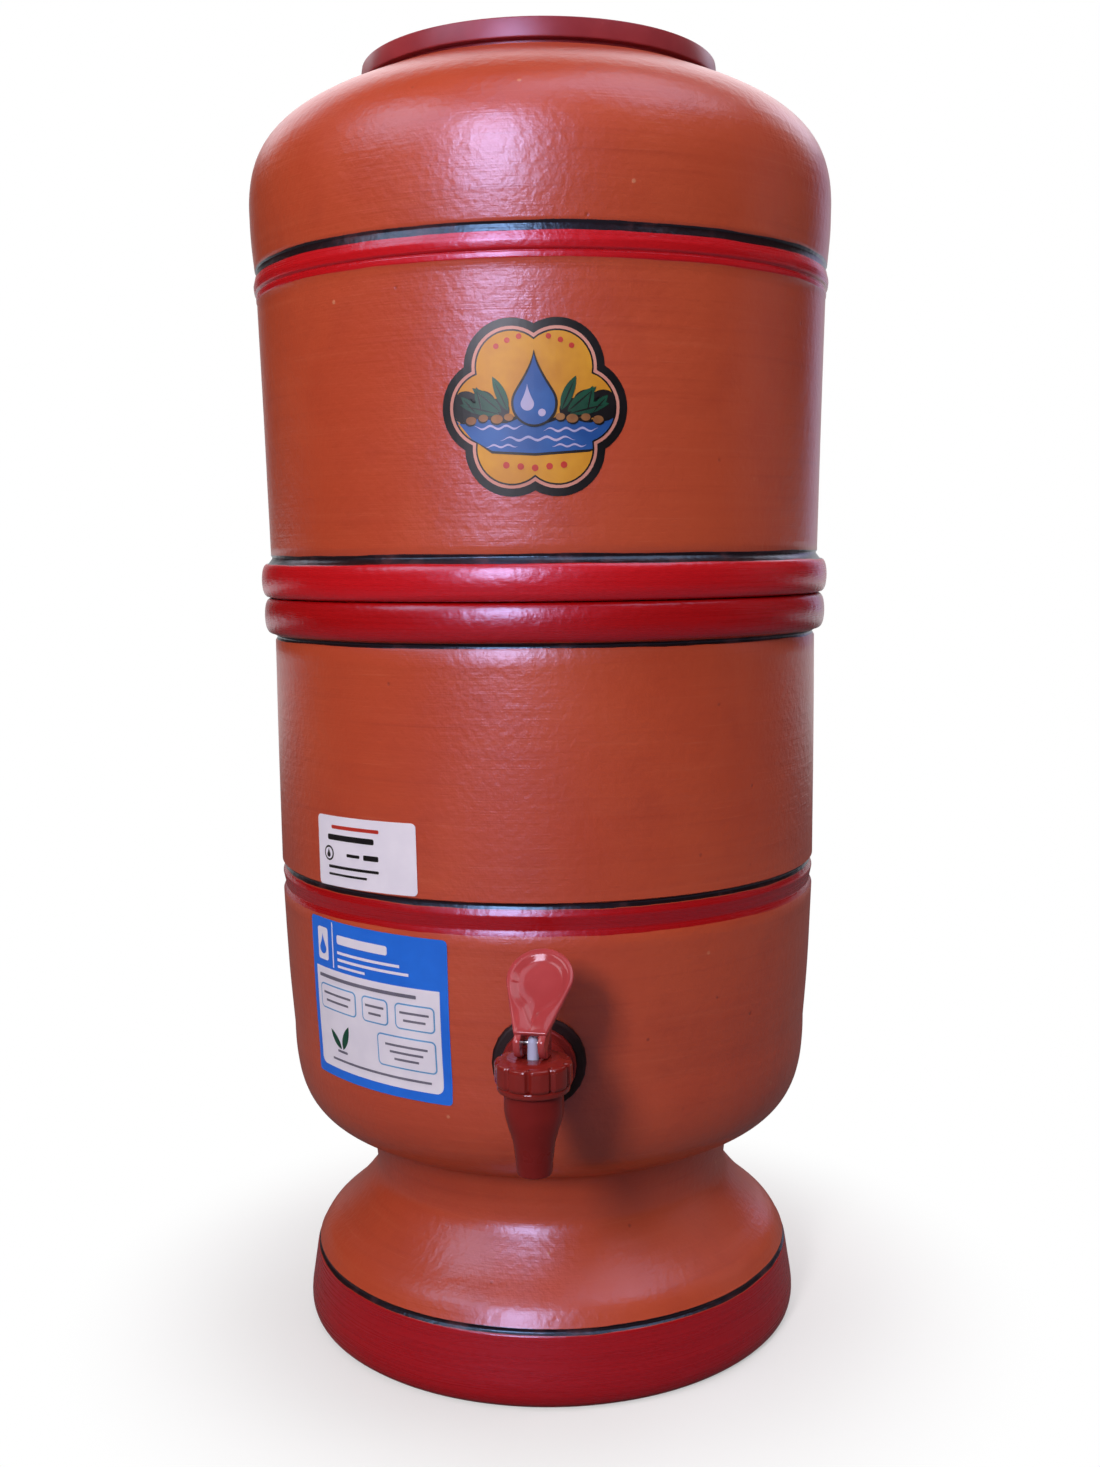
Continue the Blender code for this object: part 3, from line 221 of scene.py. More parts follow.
def lathe(name, outline, facets, change=None, centre=(0.0, 0.0)):
    """A closed outline in mm turned round an upright axis.

    change(angle, radius, height) gives what to add to a radius, in mm.
    """
    bm = bmesh.new()
    rings = []
    for radius, height in outline:
        if radius < 1e-6:
            rings.append([bm.verts.new((centre[0], centre[1], height * MM))])
            continue
        ring = []
        for i in range(facets):
            angle = tau * i / facets
            r = (radius + (change(angle, radius, height) if change else 0.0)) * MM
            ring.append(bm.verts.new((centre[0] + r * cos(angle),
                                      centre[1] + r * sin(angle), height * MM)))
        rings.append(ring)
    for lower, upper in zip(rings, rings[1:] + rings[:1]):
        if len(lower) == 1 and len(upper) == 1:
            continue
        for i in range(facets):
            j = (i + 1) % facets
            corners = [lower[i % len(lower)], lower[j % len(lower)],
                       upper[j % len(upper)], upper[i % len(upper)]]
            bm.faces.new([v for n, v in enumerate(corners) if v not in corners[:n]])
    bmesh.ops.recalc_face_normals(bm, faces=bm.faces)
    return smooth(mesh_of(bm, name))


def hand_thrown(depth, seed):
    """Slow dents and faint rings, always inwards, as a turned clay wall has."""
    def change(angle, radius, height):
        at = Vector((3.2 * cos(angle), 3.2 * sin(angle), height * 0.022 + seed))
        rings = noise.noise(Vector((0.6 * cos(angle), 0.6 * sin(angle),
                                    height * 0.35)))
        return -depth * (0.5 + 0.5 * noise.noise(at)) - 0.05 * (0.5 + 0.5 * rings)
    return change


# Materials

def srgb(r, g, b):
    """A screen colour of 0 to 255 as the linear values that a shader takes."""
    out = []
    for value in (r, g, b):
        value /= 255
        out.append(value / 12.92 if value <= 0.04045 else ((value + 0.055) / 1.055) ** 2.4)
    return (*out, 1.0)


class Nodes:
    """Short ways to add nodes to a tree."""

    def __init__(self, tree):
        self.tree = tree

    def node(self, kind, inputs=None, **settings):
        """The outputs of a new node, with its settings made and its inputs filled."""
        made = self.tree.nodes.new(kind)
        for key, value in settings.items():
            setattr(made, key, value)
        for key, value in (inputs or {}).items():
            self.put(made.inputs[key], value)
        return made.outputs

    def put(self, socket, value):
        if isinstance(value, bpy.types.NodeSocket):
            self.tree.links.new(value, socket)
        else:
            socket.default_value = value

    def math(self, operation, a, b=0.0, **settings):
        return self.node("ShaderNodeMath", {0: a, 1: b}, operation=operation, **settings)[0]

    def times(self, a, b):
        return self.math("MULTIPLY", a, b)

    def plus(self, a, b):
        return self.math("ADD", a, b)

    def vector(self, operation, a, b=(0.0, 0.0, 0.0)):
        return self.node("ShaderNodeVectorMath", {0: a, 1: b}, operation=operation)

    def axis(self, place, letter):
        return self.node("ShaderNodeSeparateXYZ", {0: place})[letter]

    def ramp(self, value, low, high, to_low=0.0, to_high=1.0):
        return self.node("ShaderNodeMapRange", {
            "Value": value, "From Min": low, "From Max": high, "To Min": to_low,
            "To Max": to_high}, interpolation_type="SMOOTHSTEP")["Result"]

    def share(self, value, low, high, amount):
        """A ramp that goes up to an amount."""
        return self.times(self.ramp(value, low, high), amount)

    def mixed_shader(self, factor, a, b, output):
        mixed = self.node("ShaderNodeMixShader", {0: factor, 1: a, 2: b})[0]
        self.put(self.tree.nodes[output].inputs["Surface"], mixed)


class Surface(Nodes):
    """A Principled material, with patterns placed by the object's own coordinates."""

    def __init__(self, name):
        self.material = bpy.data.materials.new(name)
        self.material.use_nodes = True
        super().__init__(self.material.node_tree)
        self.shader = self.tree.nodes["Principled BSDF"]
        coords = self.node("ShaderNodeTexCoord")
        self.place, self.facing = coords["Object"], coords["Normal"]

    def scaled(self, scale, place=None):
        return self.node("ShaderNodeMapping", {
            "Vector": place or self.place, "Scale": scale})["Vector"]

    def grain(self, scale, detail=3.0, rough=0.55, place=None):
        return self.node("ShaderNodeTexNoise", {
            "Vector": place or self.place, "Scale": scale, "Detail": detail,
            "Roughness": rough})["Fac"]

    def cells(self, scale, output="Distance", place=None):
        return self.node("ShaderNodeTexVoronoi", {
            "Vector": place or self.place, "Scale": scale})[output]

    def dots(self, scale, outer, inner, channel, place):
        """Round dots in a few cells, picked by one channel of the cells' colour."""
        shape = self.ramp(self.cells(scale, "Distance", place), outer, inner)
        split = self.node("ShaderNodeSeparateColor", {0: self.cells(scale, "Color", place)})
        return self.times(shape, self.ramp(split[channel], 0.90, 0.99))

    def blend(self, factor, a, b, kind="FLOAT", first=2, result=0):
        return self.node("ShaderNodeMix", {0: factor, first: a, first + 1: b},
                         data_type=kind)[result]

    def mix(self, factor, a, b):
        """The same for colours, which have their own sockets."""
        return self.blend(factor, a, b, "RGBA", 6, 2)

    def bump(self, height, depth_mm, strength):
        return self.node("ShaderNodeBump", {
            "Height": height, "Distance": depth_mm * MM, "Strength": strength})["Normal"]

    def outside(self):
        """1 where a turned wall faces out or up, 0 where it faces its own axis."""
        radial = self.vector("SUBTRACT", self.place, (0.0, AXIS_Y, 0.0))[0]
        flat = self.vector("MULTIPLY", radial, (1.0, 1.0, 0.0))[0]
        unit = self.vector("NORMALIZE", flat)[0]
        along = self.vector("DOT_PRODUCT", unit, self.facing)["Value"]
        return self.ramp(along, -0.45, -0.15)

    def finish(self, colour, roughness, **others):
        others = {"Base Color": colour, "Roughness": roughness, **others}
        for key, value in others.items():
            self.put(self.shader.inputs[key.replace("_", " ")], value)
        return self.material


CLAY_LIGHT = srgb(196, 81, 46)
CLAY_MID = srgb(188, 72, 39)
CLAY_DARK = srgb(166, 57, 30)
CLAY_STREAK = srgb(210, 104, 72)
CLAY_SCRATCH = srgb(206, 106, 76)
CLAY_PIT = srgb(112, 36, 20)
CLAY_SPECK = srgb(222, 150, 116)
RED_THICK = srgb(128, 6, 9)
SHEEN = (0.34, 0.62, 1.0, 1.0)
PLAIN_SHEEN = (0.90, 0.92, 1.0, 1.0)
LINE_DARK = srgb(34, 14, 14)
LINE_PURPLE_GREY = srgb(84, 48, 52)


def clay(name, reds, lines, seed, red_light, red_dark):
    """Fired clay with hand-painted red bands and black lines, by height in mm."""
    s = Surface(name)
    place = s.vector("ADD", s.place, (seed, seed * 0.7, 0.0))[0]
    blotch = s.grain(11.0, 4.0, 0.6, place)
    cloud = s.grain(38.0, 3.0, 0.6, place)
    streak = s.grain(1.0, 5.0, 0.6, s.scaled((9.0, 9.0, 330.0), place))
    scratch = s.grain(1.0, 3.0, 0.5, s.scaled((34.0, 34.0, 1900.0), place))
    fine = s.grain(900.0, 3.0, 0.6, place)
    pimple = s.grain(330.0, 2.0, 0.5, place)
    pit = s.dots(150.0, 0.16, 0.02, 0, place)
    speck = s.dots(95.0, 0.10, 0.04, 1, place)

    colour = s.mix(s.ramp(blotch, 0.35, 0.68), CLAY_MID, CLAY_LIGHT)
    for mask, shade in (
            (s.share(cloud, 0.50, 0.78, 0.30), CLAY_DARK),
            (s.share(streak, 0.52, 0.80, 0.38), CLAY_DARK),
            (s.share(streak, 0.46, 0.22, 0.22), CLAY_STREAK),
            (s.share(scratch, 0.62, 0.78, 0.30), CLAY_SCRATCH),
            (s.times(pit, 0.50), CLAY_PIT), (s.times(speck, 0.6), CLAY_SPECK)):
        colour = s.mix(mask, colour, shade)

    height = s.times(s.axis(s.place, "Z"), 1 / MM)
    wander = s.grain(1.0, 3.0, 0.5, s.scaled((30.0, 30.0, 8.0), place))
    uneven = s.plus(height, s.times(s.math("SUBTRACT", wander, 0.5), 1.5))
    painted = s.outside()

    def paint(spans, soft=0.12):
        """1 within any of the spans of height, on the outer side only."""
        whole = None
        for low, high in spans:
            mask = s.times(s.ramp(uneven, low - soft, low + soft),
                           s.ramp(uneven, high + soft, high - soft))
            whole = mask if whole is None else s.math("MAXIMUM", whole, mask)
        return s.times(whole, painted)

    red, line = paint(reds), paint(lines)
    brush = s.grain(1.0, 4.0, 0.6, s.scaled((14.0, 14.0, 900.0), place))
    red_paint = s.mix(s.ramp(brush, 0.20, 0.80), red_dark, red_light)
    red_paint = s.mix(s.share(cloud, 0.56, 0.80, 0.25), red_paint, RED_THICK)
    # Random purple-grey patches over the black lines.
    line_patches = s.grain(70.0, 4.0, 0.6, place)
    black_paint = s.mix(s.share(line_patches, 0.52, 0.70, 0.75), LINE_DARK, LINE_PURPLE_GREY)
    colour = s.mix(line, s.mix(red, colour, red_paint), black_paint)

    rough = s.blend(s.times(fine, 0.25), s.blend(cloud, 0.28, 0.35), 0.38)
    rough = s.blend(red, rough, s.blend(brush, 0.25, 0.30))
    rough = s.blend(line, rough, 0.28)
    turned = s.plus(s.times(streak, 0.34), s.times(scratch, 0.20))
    relief = s.times(fine, 0.19)
    for layer in (s.times(pimple, 0.78), s.times(turned, s.blend(red, 1.0, 0.25)),
                  s.times(pit, -0.55), s.times(speck, 0.12), s.times(red, 0.16)):
        relief = s.plus(relief, layer)
    return s.finish(colour, rough, Normal=s.bump(relief, 0.34, 0.75), IOR=1.75,
                    Specular_IOR_Level=0.56, Specular_Tint=SHEEN)


def plastic(name, base, dark, roughness, grain_mm, depth_mm, level=0.3, tint=SHEEN):
    """Moulded plastic with faint flow marks, dust and fine texture."""
    s = Surface(name)
    base, dark = srgb(*base), srgb(*dark)
    flow = s.grain(45.0, 3.0, 0.6)
    fine = s.grain(1000.0 / grain_mm, 2.0, 0.5)
    dust = s.times(s.ramp(s.cells(420.0), 0.14, 0.05), s.ramp(s.grain(120.0), 0.52, 0.62))
    colour = s.mix(s.ramp(flow, 0.35, 0.70), dark, base)
    lit = tuple(min(1.0, c * 1.5 + 0.05) for c in base[:3]) + (1.0,)
    colour = s.mix(s.times(dust, 0.30), colour, lit)
    rough = s.blend(flow, roughness - 0.05, roughness + 0.07)
    rough = s.blend(s.times(dust, 0.6), rough, 0.65)
    return s.finish(colour, rough, Normal=s.bump(fine, depth_mm, 0.6),
                    Specular_IOR_Level=level, Specular_Tint=tint)


def rubber(name, colour, light):
    s = Surface(name)
    cloud = s.grain(60.0, 4.0, 0.6)
    fine = s.grain(1400.0, 2.0, 0.5)
    shade = s.mix(s.ramp(cloud, 0.4, 0.7), colour, light)
    return s.finish(shade, s.blend(cloud, 0.48, 0.66), Normal=s.bump(fine, 0.06, 0.6),
                    Specular_IOR_Level=0.28)


def steel(name):
    s = Surface(name)
    brushed = s.grain(1.0, 3.0, 0.6, s.scaled((200.0, 2600.0, 2600.0)))
    shade = s.mix(brushed, srgb(150, 150, 152), srgb(206, 205, 203))
    return s.finish(shade, s.blend(brushed, 0.22, 0.38), Normal=s.bump(brushed, 0.02, 0.5),
                    Metallic=1.0)


def candle_stone(name):
    s = Surface(name)
    cloud = s.grain(30.0, 4.0, 0.6)
    fine = s.grain(1600.0, 3.0, 0.6)
    pores = s.ramp(s.cells(520.0), 0.16, 0.04)
    shade = s.mix(cloud, srgb(226, 221, 208), srgb(243, 240, 231))
    shade = s.mix(s.times(pores, 0.3), shade, srgb(188, 178, 160))
    relief = s.plus(fine, s.times(pores, -0.6))
    return s.finish(shade, s.blend(cloud, 0.82, 0.95), Normal=s.bump(relief, 0.12, 0.7))


def silicone(name):
    s = Surface(name)
    cloud = s.grain(80.0, 3.0, 0.5)
    shade = s.mix(cloud, srgb(206, 206, 200), srgb(226, 226, 222))
    return s.finish(shade, s.blend(cloud, 0.36, 0.5), Normal=s.bump(cloud, 0.05, 0.5),
                    Subsurface_Weight=0.25, Subsurface_Scale=0.002)


def printed(name, colour, shade, roughness=0.34):
    """Ink or paper of a sticker, with faint print grain and handling marks."""
    s = Surface(name)
    colour, shade = srgb(*colour), srgb(*shade)
    cloud = s.grain(60.0, 3.0, 0.6)
    fine = s.grain(2600.0, 2.0, 0.5)
    tint = s.mix(s.ramp(cloud, 0.3, 0.75), shade, colour)
    tint = s.mix(s.share(fine, 0.55, 0.75, 0.18), tint, shade)
    return s.finish(tint, s.blend(cloud, roughness - 0.04, roughness + 0.10),
                    Normal=s.bump(cloud, 0.10, 0.4))


LOWER_CLAY = clay(
    "lower_clay",
    [(-5.0, BASE_BAND_TOP), (LOW_BAND[0] + 0.4, LOW_BAND[1] - LINE),
     (LOWER_BEAD, LOWER_RIM + 1.0)],
    [(BASE_BAND_TOP + 0.1, BASE_BAND_TOP + 2.6), (LOW_BAND[1] - LINE + 0.2, LOW_BAND[1] - 0.5),
     (LOWER_BEAD - 2.2, LOWER_BEAD - 0.2)],
    3.1, srgb(176, 6, 5), srgb(162, 4, 3),
)
UPPER_CLAY = clay(
    "upper_clay",
    [(UPPER_BASE - 0.2, UPPER_BEAD), (TOP_BAND[0] + 0.3, TOP_BAND[1] - LINE)],
    [(UPPER_BEAD - 0.4, UPPER_BEAD + LINE + 0.1), (TOP_BAND[1] - LINE - 0.5, TOP_BAND[1] - 0.1)],
    7.7, srgb(203, 15, 21), srgb(187, 10, 15),
)
LID_PLASTIC = plastic("lid_plastic", (156, 52, 56), (140, 44, 48), 0.34, 0.45, 0.05, 0.60)
TAP_PLASTIC = plastic("tap_plastic", (128, 34, 30), (118, 29, 25), 0.27, 1.4, 0.02, 0.25)
BONNET_PLASTIC = plastic("bonnet_plastic", (130, 34, 30), (120, 30, 26), 0.11, 1.2, 0.015,
                         0.50, PLAIN_SHEEN)
# The lever's plastic is a lighter copy of the tap's own red: painted light for the paddle, which
# tilts up towards the lamps.
PAINTED_LIT_LEVER_PLASTIC = plastic("painted_lit_lever_plastic", (174, 66, 70), (164, 60, 64), 0.12, 1.2, 0.015,
                        0.45, PLAIN_SHEEN)
WHITE_PLASTIC = plastic("white_plastic", (228, 232, 238), (214, 218, 226), 0.34, 0.7, 0.03)
BLACK_RUBBER = rubber("black_rubber", srgb(32, 11, 15), srgb(48, 22, 28))
STEM_PLASTIC = plastic("stem_plastic", (204, 207, 244), (188, 192, 232), 0.30, 0.7, 0.03)
STEEL = steel("pin_steel")
CANDLE_STONE = candle_stone("candle_stone")
SILICONE = silicone("seat_silicone")


# Pieces that keep the solid's own shape

def refined(name, node, material, body, width):
    """The node's own shape with its sharp edges rounded and its facets smoothed."""
    bm = bmesh.new()
    bm.from_mesh(NODES[node].data)
    bm.transform(NODES[node].matrix_world)
    bmesh.ops.remove_doubles(bm, verts=bm.verts, dist=1e-6)
    bmesh.ops.dissolve_limit(bm, angle_limit=radians(0.6), verts=bm.verts, edges=bm.edges)
    sharp = [e for e in bm.edges
             if len(e.link_faces) == 2 and e.calc_face_angle(0.0) > radians(28.0)]
    bmesh.ops.bevel(bm, geom=sharp, offset=width * MM, segments=3, profile=0.5,
                    affect="EDGES", clamp_overlap=True)
    shown(name, smooth(mesh_of(bm, name), 46), material, body, node)


def seat_plug():
    """Silicone cup of the tap, whose flange is clamped while its plug lifts with the stem; here
    it is one piece, joined to no body.
    """
    low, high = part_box("tap_seat_cup")
    bottom, top = low.z / MM, high.z / MM
    rim, plug, wall, bore, room = (high.x - low.x) / 2 / MM, 5.6, 3.4, 2.4, 3.2
    shoulder, room_top, flange, lip = bottom + 4.8, bottom + 5.4, top - 1.7, top - 1.0
    steps = 24
    outer = softened([(0.0, bottom), (plug - 0.8, bottom), (plug, bottom + 0.8),
                      (plug, shoulder - 0.6), (wall, shoulder)], 0.3)
    for i in range(1, steps):
        t = i / steps
        outer.append((wall + 1.1 * abs(sin(tau * t)),
                      shoulder + (flange - shoulder) * t))
    outer += softened([outer[-1], (wall + 0.1, flange), (rim, flange), (rim, top),
                       (bore + 0.8, top), (bore, lip)], 0.3)[1:]
    inner = [(bore, lip + (room_top + 0.6 - lip) * i / steps) for i in range(1, steps + 1)]
    inner += [(room, room_top), (room, bottom + 1.8), (0.0, bottom + 1.8)]
    piece = shown("seat_plug", lathe("seat_plug", outer + inner, 48, centre=(0.0, TAP_Y)),
                  SILICONE, None, "tap_seat_cup")
    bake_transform(piece)


# By body: name, node, material and width of the rounding in mm
REFINED = {
    "upper_unit": [
        ("candle_stone", "candle_dome", CANDLE_STONE, 0.8),
        ("candle_base", "candle_cap", WHITE_PLASTIC, 0.35),
        ("candle_seal", "candle_gasket", BLACK_RUBBER, 0.6),
        ("floor_washer", "candle_washer", BLACK_RUBBER, 0.6),
        ("wing_nut", "candle_wing_nut", WHITE_PLASTIC, 0.5),
        ("valve_body", "float_valve_body", WHITE_PLASTIC, 0.3),
        ("valve_pin", "float_pin", STEEL, 0.15)],
    "float": [
        ("valve_arm", "float_arm", WHITE_PLASTIC, 0.3),
        ("valve_pad", "float_pad", BLACK_RUBBER, 0.3),
        ("round_float", "float_ball", WHITE_PLASTIC, 0.3)],
    "lower_unit": [
        ("tap_moulding", "tap_body", TAP_PLASTIC, 0.35),
        ("front_gasket", "tap_outer_gasket", BLACK_RUBBER, 0.5),
        ("back_gasket", "tap_inner_gasket", BLACK_RUBBER, 0.4),
        ("shank_nut", "tap_shank_nut", WHITE_PLASTIC, 0.5)],
    "stem": [
        ("stem", "tap_stem", STEM_PLASTIC, 0.2),
        ("lever_pin", "tap_lever_pin", STEEL, 0.15)],
}

seat_plug()
for body, rows in REFINED.items():
    for name, node, material, width in rows:
        refined(name, node, material, body, width)


# Vessels and lid

def lower_side():
    """Outer side of the lower vessel below its painted band."""
    bowl = [FOLD] + bezier(FOLD, (101.4, 89.5), (BOWL[0], 97.4), BOWL, 34)
    return bowl + curve_through([BOWL, (110.6, 151.7), (112.0, LOW_BAND[0])], 5)[1:]


def lower_outline():
    base = curve_through([(101.6, 0.0), (104.1, 2.6), (104.8, 8.0), (103.4, 18.0),
                          (102.0, 27.2)], 5)
    foot_start = (100.7, BASE_BAND_TOP + LINE)
    foot = curve_through([foot_start, (96.9, 37.4), (88.2, 45.1), (81.2, 52.8), (75.9, 60.4),
                          (75.7, 68.1), (77.3, 75.2), FOLD], 6)
    low, high = LOW_BAND
    band, side = 112.0, 112.3
    outer = base + softened(
        [base[-1], (101.8, BASE_BAND_TOP - 0.1), (100.5, BASE_BAND_TOP + 0.9),
         (100.4, BASE_BAND_TOP + 1.8), (101.0, BASE_BAND_TOP + 2.5), foot_start],
        0.5)[1:-1]
    neck = [p for p in foot if dist(p, FOLD) > 2.6]
    bowl = [p for p in lower_side() if dist(p, FOLD) > 2.6]
    outer += neck + bezier(neck[-1], FOLD, FOLD, bowl[0], 6)[:-1] + bowl
    outer += softened(
        [(band, low), (110.9, low + 2.6), (band, high - LINE - 2.2),
         (111.3, high - LINE - 0.3), (110.5, high - LINE / 2), (111.0, high - 0.7),
         (112.2, high)], 0.5)[1:]
    outer += curve_through([(112.2, high), (112.4, 244.6), (side, LOWER_BEAD - LINE)], 5)[1:]
    outer += softened([(side, LOWER_BEAD - LINE), (111.4, LOWER_BEAD - LINE / 2),
                       (112.2, LOWER_BEAD)], 0.6)[1:-1]
    outer += bead(side, LOWER_BEAD, LOWER_RIM - LOWER_BEAD, 4.1)
    floor_top = FOLD[1] + 11.0
    mouth = 102.2
    chamber = [p for p in moved_in(lower_side(), WALL) if p[1] > floor_top + 2.0]
    inner = softened([(band, LOWER_RIM), (mouth + 1.0, LOWER_RIM), (mouth, LOWER_RIM - 1.5),
                      (mouth, LOWER_RIM - 8.0)], 1.2)
    inner += chamber[::-1]
    inner += softened([chamber[0], (chamber[0][0] - 6.0, floor_top + 1.2), (55.0, floor_top)],
                      5.0)[1:]
    inner += [(0.0, floor_top)]
    hollow = moved_in(base[6:-1] + foot, FOOT_WALL)
    hollow = [p for p in hollow if 4.0 < p[1] < HOLLOW_TOP - 3.0]
    steady = []
    for p in hollow:
        if not steady or (p[0] < steady[-1][0] and p[1] > steady[-1][1]):
            steady.append(p)
    under = softened([(40.0, HOLLOW_TOP), (steady[-1][0] - 4.0, HOLLOW_TOP), steady[-1]], 4.0)
    under = [(0.0, HOLLOW_TOP)] + under[:-1] + steady[::-1]
    under += softened([steady[0], (93.2, 1.2), (94.2, 0.0)], 1.0)[1:]
    return outer + inner + under


def upper_outline():
    base, bead_top = UPPER_BASE, UPPER_BEAD
    side, band = UPPER_RADIUS, TOP_BAND_RADIUS
    low, high = TOP_BAND
    outer = bead(side, base, bead_top - base, 4.0)
    outer += softened([outer[-1], (side - 0.6, bead_top + LINE - 0.9), (side, bead_top + LINE)],
                      0.5)[1:-1]
    outer += curve_through([(side, bead_top + LINE), UPPER_MIDDLE, (band, low)], 8)
    outer += softened(
        [(band, low), (band + 0.3, low + 0.5), (band + 0.3, low + 2.3), (band - 0.2, low + 2.8),
         (band + 0.9, low + 3.6), (band + 1.2, low + 6.2), (band + 0.5, high - LINE - 0.5),
         (band - 0.3, high - 0.9), (band + 0.6, high)], 0.45)[1:]
    swell = SHOULDER[0] - band
    outer += curve_through([(band + 0.6, high), (band + 0.85 * swell, 447.8), SHOULDER], 6)[1:]
    rise, run = 45.9, 43.2
    start, end = SHOULDER, (74.5, 505.8)
    shoulder = bezier(start, (start[0] - 0.009 * run, start[1] + 0.569 * rise),
                      (end[0] + 0.658 * run, start[1] + 0.751 * rise), end, 40)
    outer += shoulder
    outer += softened([shoulder[-1], (73.6, RIM_TOP), (66.0, RIM_TOP)], 0.8)[1:-1]
    chamber = moved_in([(side, 329.0), UPPER_MIDDLE, (band, low), start] + shoulder, WALL)
    chamber = [p for p in chamber if p[0] > 66.0]
    inner = softened([(68.0, RIM_TOP), (64.5, RIM_TOP), (63.0, RIM_TOP - 1.5),
                      (63.0, chamber[-1][1] - 1.0), chamber[-1]], 1.4)[:-1]
    inner += chamber[::-1]
    floor_top = 313.5
    inner += softened([(side - WALL, 324.0), (side - 12.8, floor_top + 4.0),
                       (side - 21.8, floor_top), (60.0, floor_top)], 5.0)
    spigot = 101.0  # rim that stands in the lower vessel's mouth
    inner += softened(
        [(20.0, floor_top), (7.0, floor_top), (7.0, floor_top - 12.0),
         (spigot - 12.0, floor_top - 12.0), (spigot - 12.0, base - 9.0), (spigot, base - 9.0),
         (spigot, base), (side, base)],
        1.0)
    return outer + inner


def lid_outline():
    seat = RIM_TOP + 0.3
    cap, top = seat + 2.1, seat + 9.7
    dish = top - 4.0
    under = dish - 2.2
    return softened(
        [(69.0, seat), (69.0, cap), (72.3, cap), (71.4, top - 0.3), (70.8, top),
         (65.2, top), (63.4, dish + 0.4), (62.0, dish), (18.5, dish), (16.4, dish + 3.4),
         (15.2, dish + 4.0), (0.0, dish + 3.4), (0.0, under), (59.6, under), (59.6, seat - 11.0),
         (61.8, seat - 11.0), (61.8, under), (66.8, under), (66.8, seat)], 0.7,
        closed=True, steps=4)


for name, outline, change, material, body, node in (
        ("clay_lower", close_set(lower_outline(), LONGEST), hand_thrown(DENT, 2.0),
         LOWER_CLAY, "lower_unit", "lower_vessel"),
        ("clay_upper", close_set(upper_outline(), LONGEST), hand_thrown(DENT, 5.0),
         UPPER_CLAY, "upper_unit", "upper_vessel"),
        ("moulded_lid", lid_outline(), None, LID_PLASTIC, "lid", "lid")):
    shown(name, lathe(name, outline, FACETS, change, (0.0, AXIS_Y)), material, body, node)


# Bonnet and lever of the tap

def bonnet_mesh():
    low, high = BONNET_LOW.z / MM, BONNET_HIGH.z / MM
    side = BONNET_RADIUS
    outline = softened([
        (10.4, low), (11.7, low), (12.3, low + 0.5), (12.45, low + 1.9), (12.2, low + 2.3),
        (12.9, low + 2.7), (side, low + 3.5), (side, high - 2.0), (side - 0.35, high - 1.2),
        (side - 1.0, high - 0.9), (10.4, high - 0.6), (9.0, high), (4.2, high), (3.9, high - 0.3),
        (2.4, high - 0.3), (2.4, high - 2.0), (10.4, high - 2.0)], 0.45, closed=True,
        least=20)
    pitch = tau / 10

    def flute(angle, radius, height):
        if height < low + 2.4 or radius < 11.4:
            return 0.0
        off = abs((angle + pi / 2 + 0.10 + pitch / 2) % pitch - pitch / 2)
        reach = off / radians(5.6)
        groove = cos(min(reach, 1.0) * pi / 2) ** 1.4
        fade = min(1.0, (radius - 11.4) / 0.8)
        flat = 0.20 * (off / (pitch / 2)) ** 2
        return -fade * (1.15 * groove + 0.20 - flat)

    return lathe("fluted_bonnet", close_set(outline, 1.2), 200, flute, (0.0, TAP_Y))


def ray_hit(polygon, centre, angle):
    """Distance from a centre to a polygon round it, in one direction."""
    dx, dy = cos(angle), sin(angle)
    best = 0.0
    for a, b in zip(polygon, polygon[1:] + polygon[:1]):
        ax, ay = a[0] - centre[0], a[1] - centre[1]
        ex, ey = b[0] - a[0], b[1] - a[1]
        span = dx * ey - dy * ex
        if abs(span) < 1e-9:
            continue
        t = (ax * ey - ay * ex) / span
        u = (ax * dy - ay * dx) / span
        if t > 0 and -1e-6 <= u <= 1 + 1e-6:
            best = max(best, t)
    return best


def paddle_outline(centre, inset):
    """Round head and straight sides down to the lower edge, drawn in by an inset."""
    head, foot, tip_z = PADDLE_HEAD - inset, PADDLE_FOOT_REACH - inset, PADDLE_FOOT + inset
    side = atan2(head - foot, centre - tip_z)
    points = arc((0.0, centre), head, head, -degrees(side), 180 + degrees(side), 48)
    return points + [(-foot, tip_z), (foot, tip_z)]


def dish_outline(centre, head, tail, waist):
    """A round head that narrows in a soft curve to a tail."""
    right = [(head, centre - 0.5)] + bezier(
        (head, centre - 0.5), (head, centre - 0.62 * (centre - tail)),
        (waist, tail + 0.45 * (centre - tail)), (0.0, tail), 24)
    left = [(-x, z) for x, z in right[::-1]]
    over = arc((0.0, centre - 0.5), head, head, 0, 180, 40)
    return right[::-1][:-1] + over + left[1:-1]


def lever_place():
    turn = Matrix.Rotation(LEVER_YAW, 4, "Z") @ Matrix.Rotation(-LEVER_LEAN, 4, "X")
    return Matrix.Translation((0.0, TAP_Y, PIN_Z)) @ turn @ Matrix.Scale(MM, 4)


def add_rings(bm, rings, first, last):
    """Skin between rings of points, with a fan to a point at each end."""
    made = [[bm.verts.new(p) for p in ring] for ring in rings]
    for a, b in zip(made, made[1:]):
        for i in range(len(a)):
            j = (i + 1) % len(a)
            bm.faces.new((a[i], a[j], b[j], b[i]))
    for ring, tip in ((made[0], first), (made[-1], last)):
        top = bm.verts.new(tip)
        for i in range(len(ring)):
            bm.faces.new((ring[i], ring[(i + 1) % len(ring)], top))


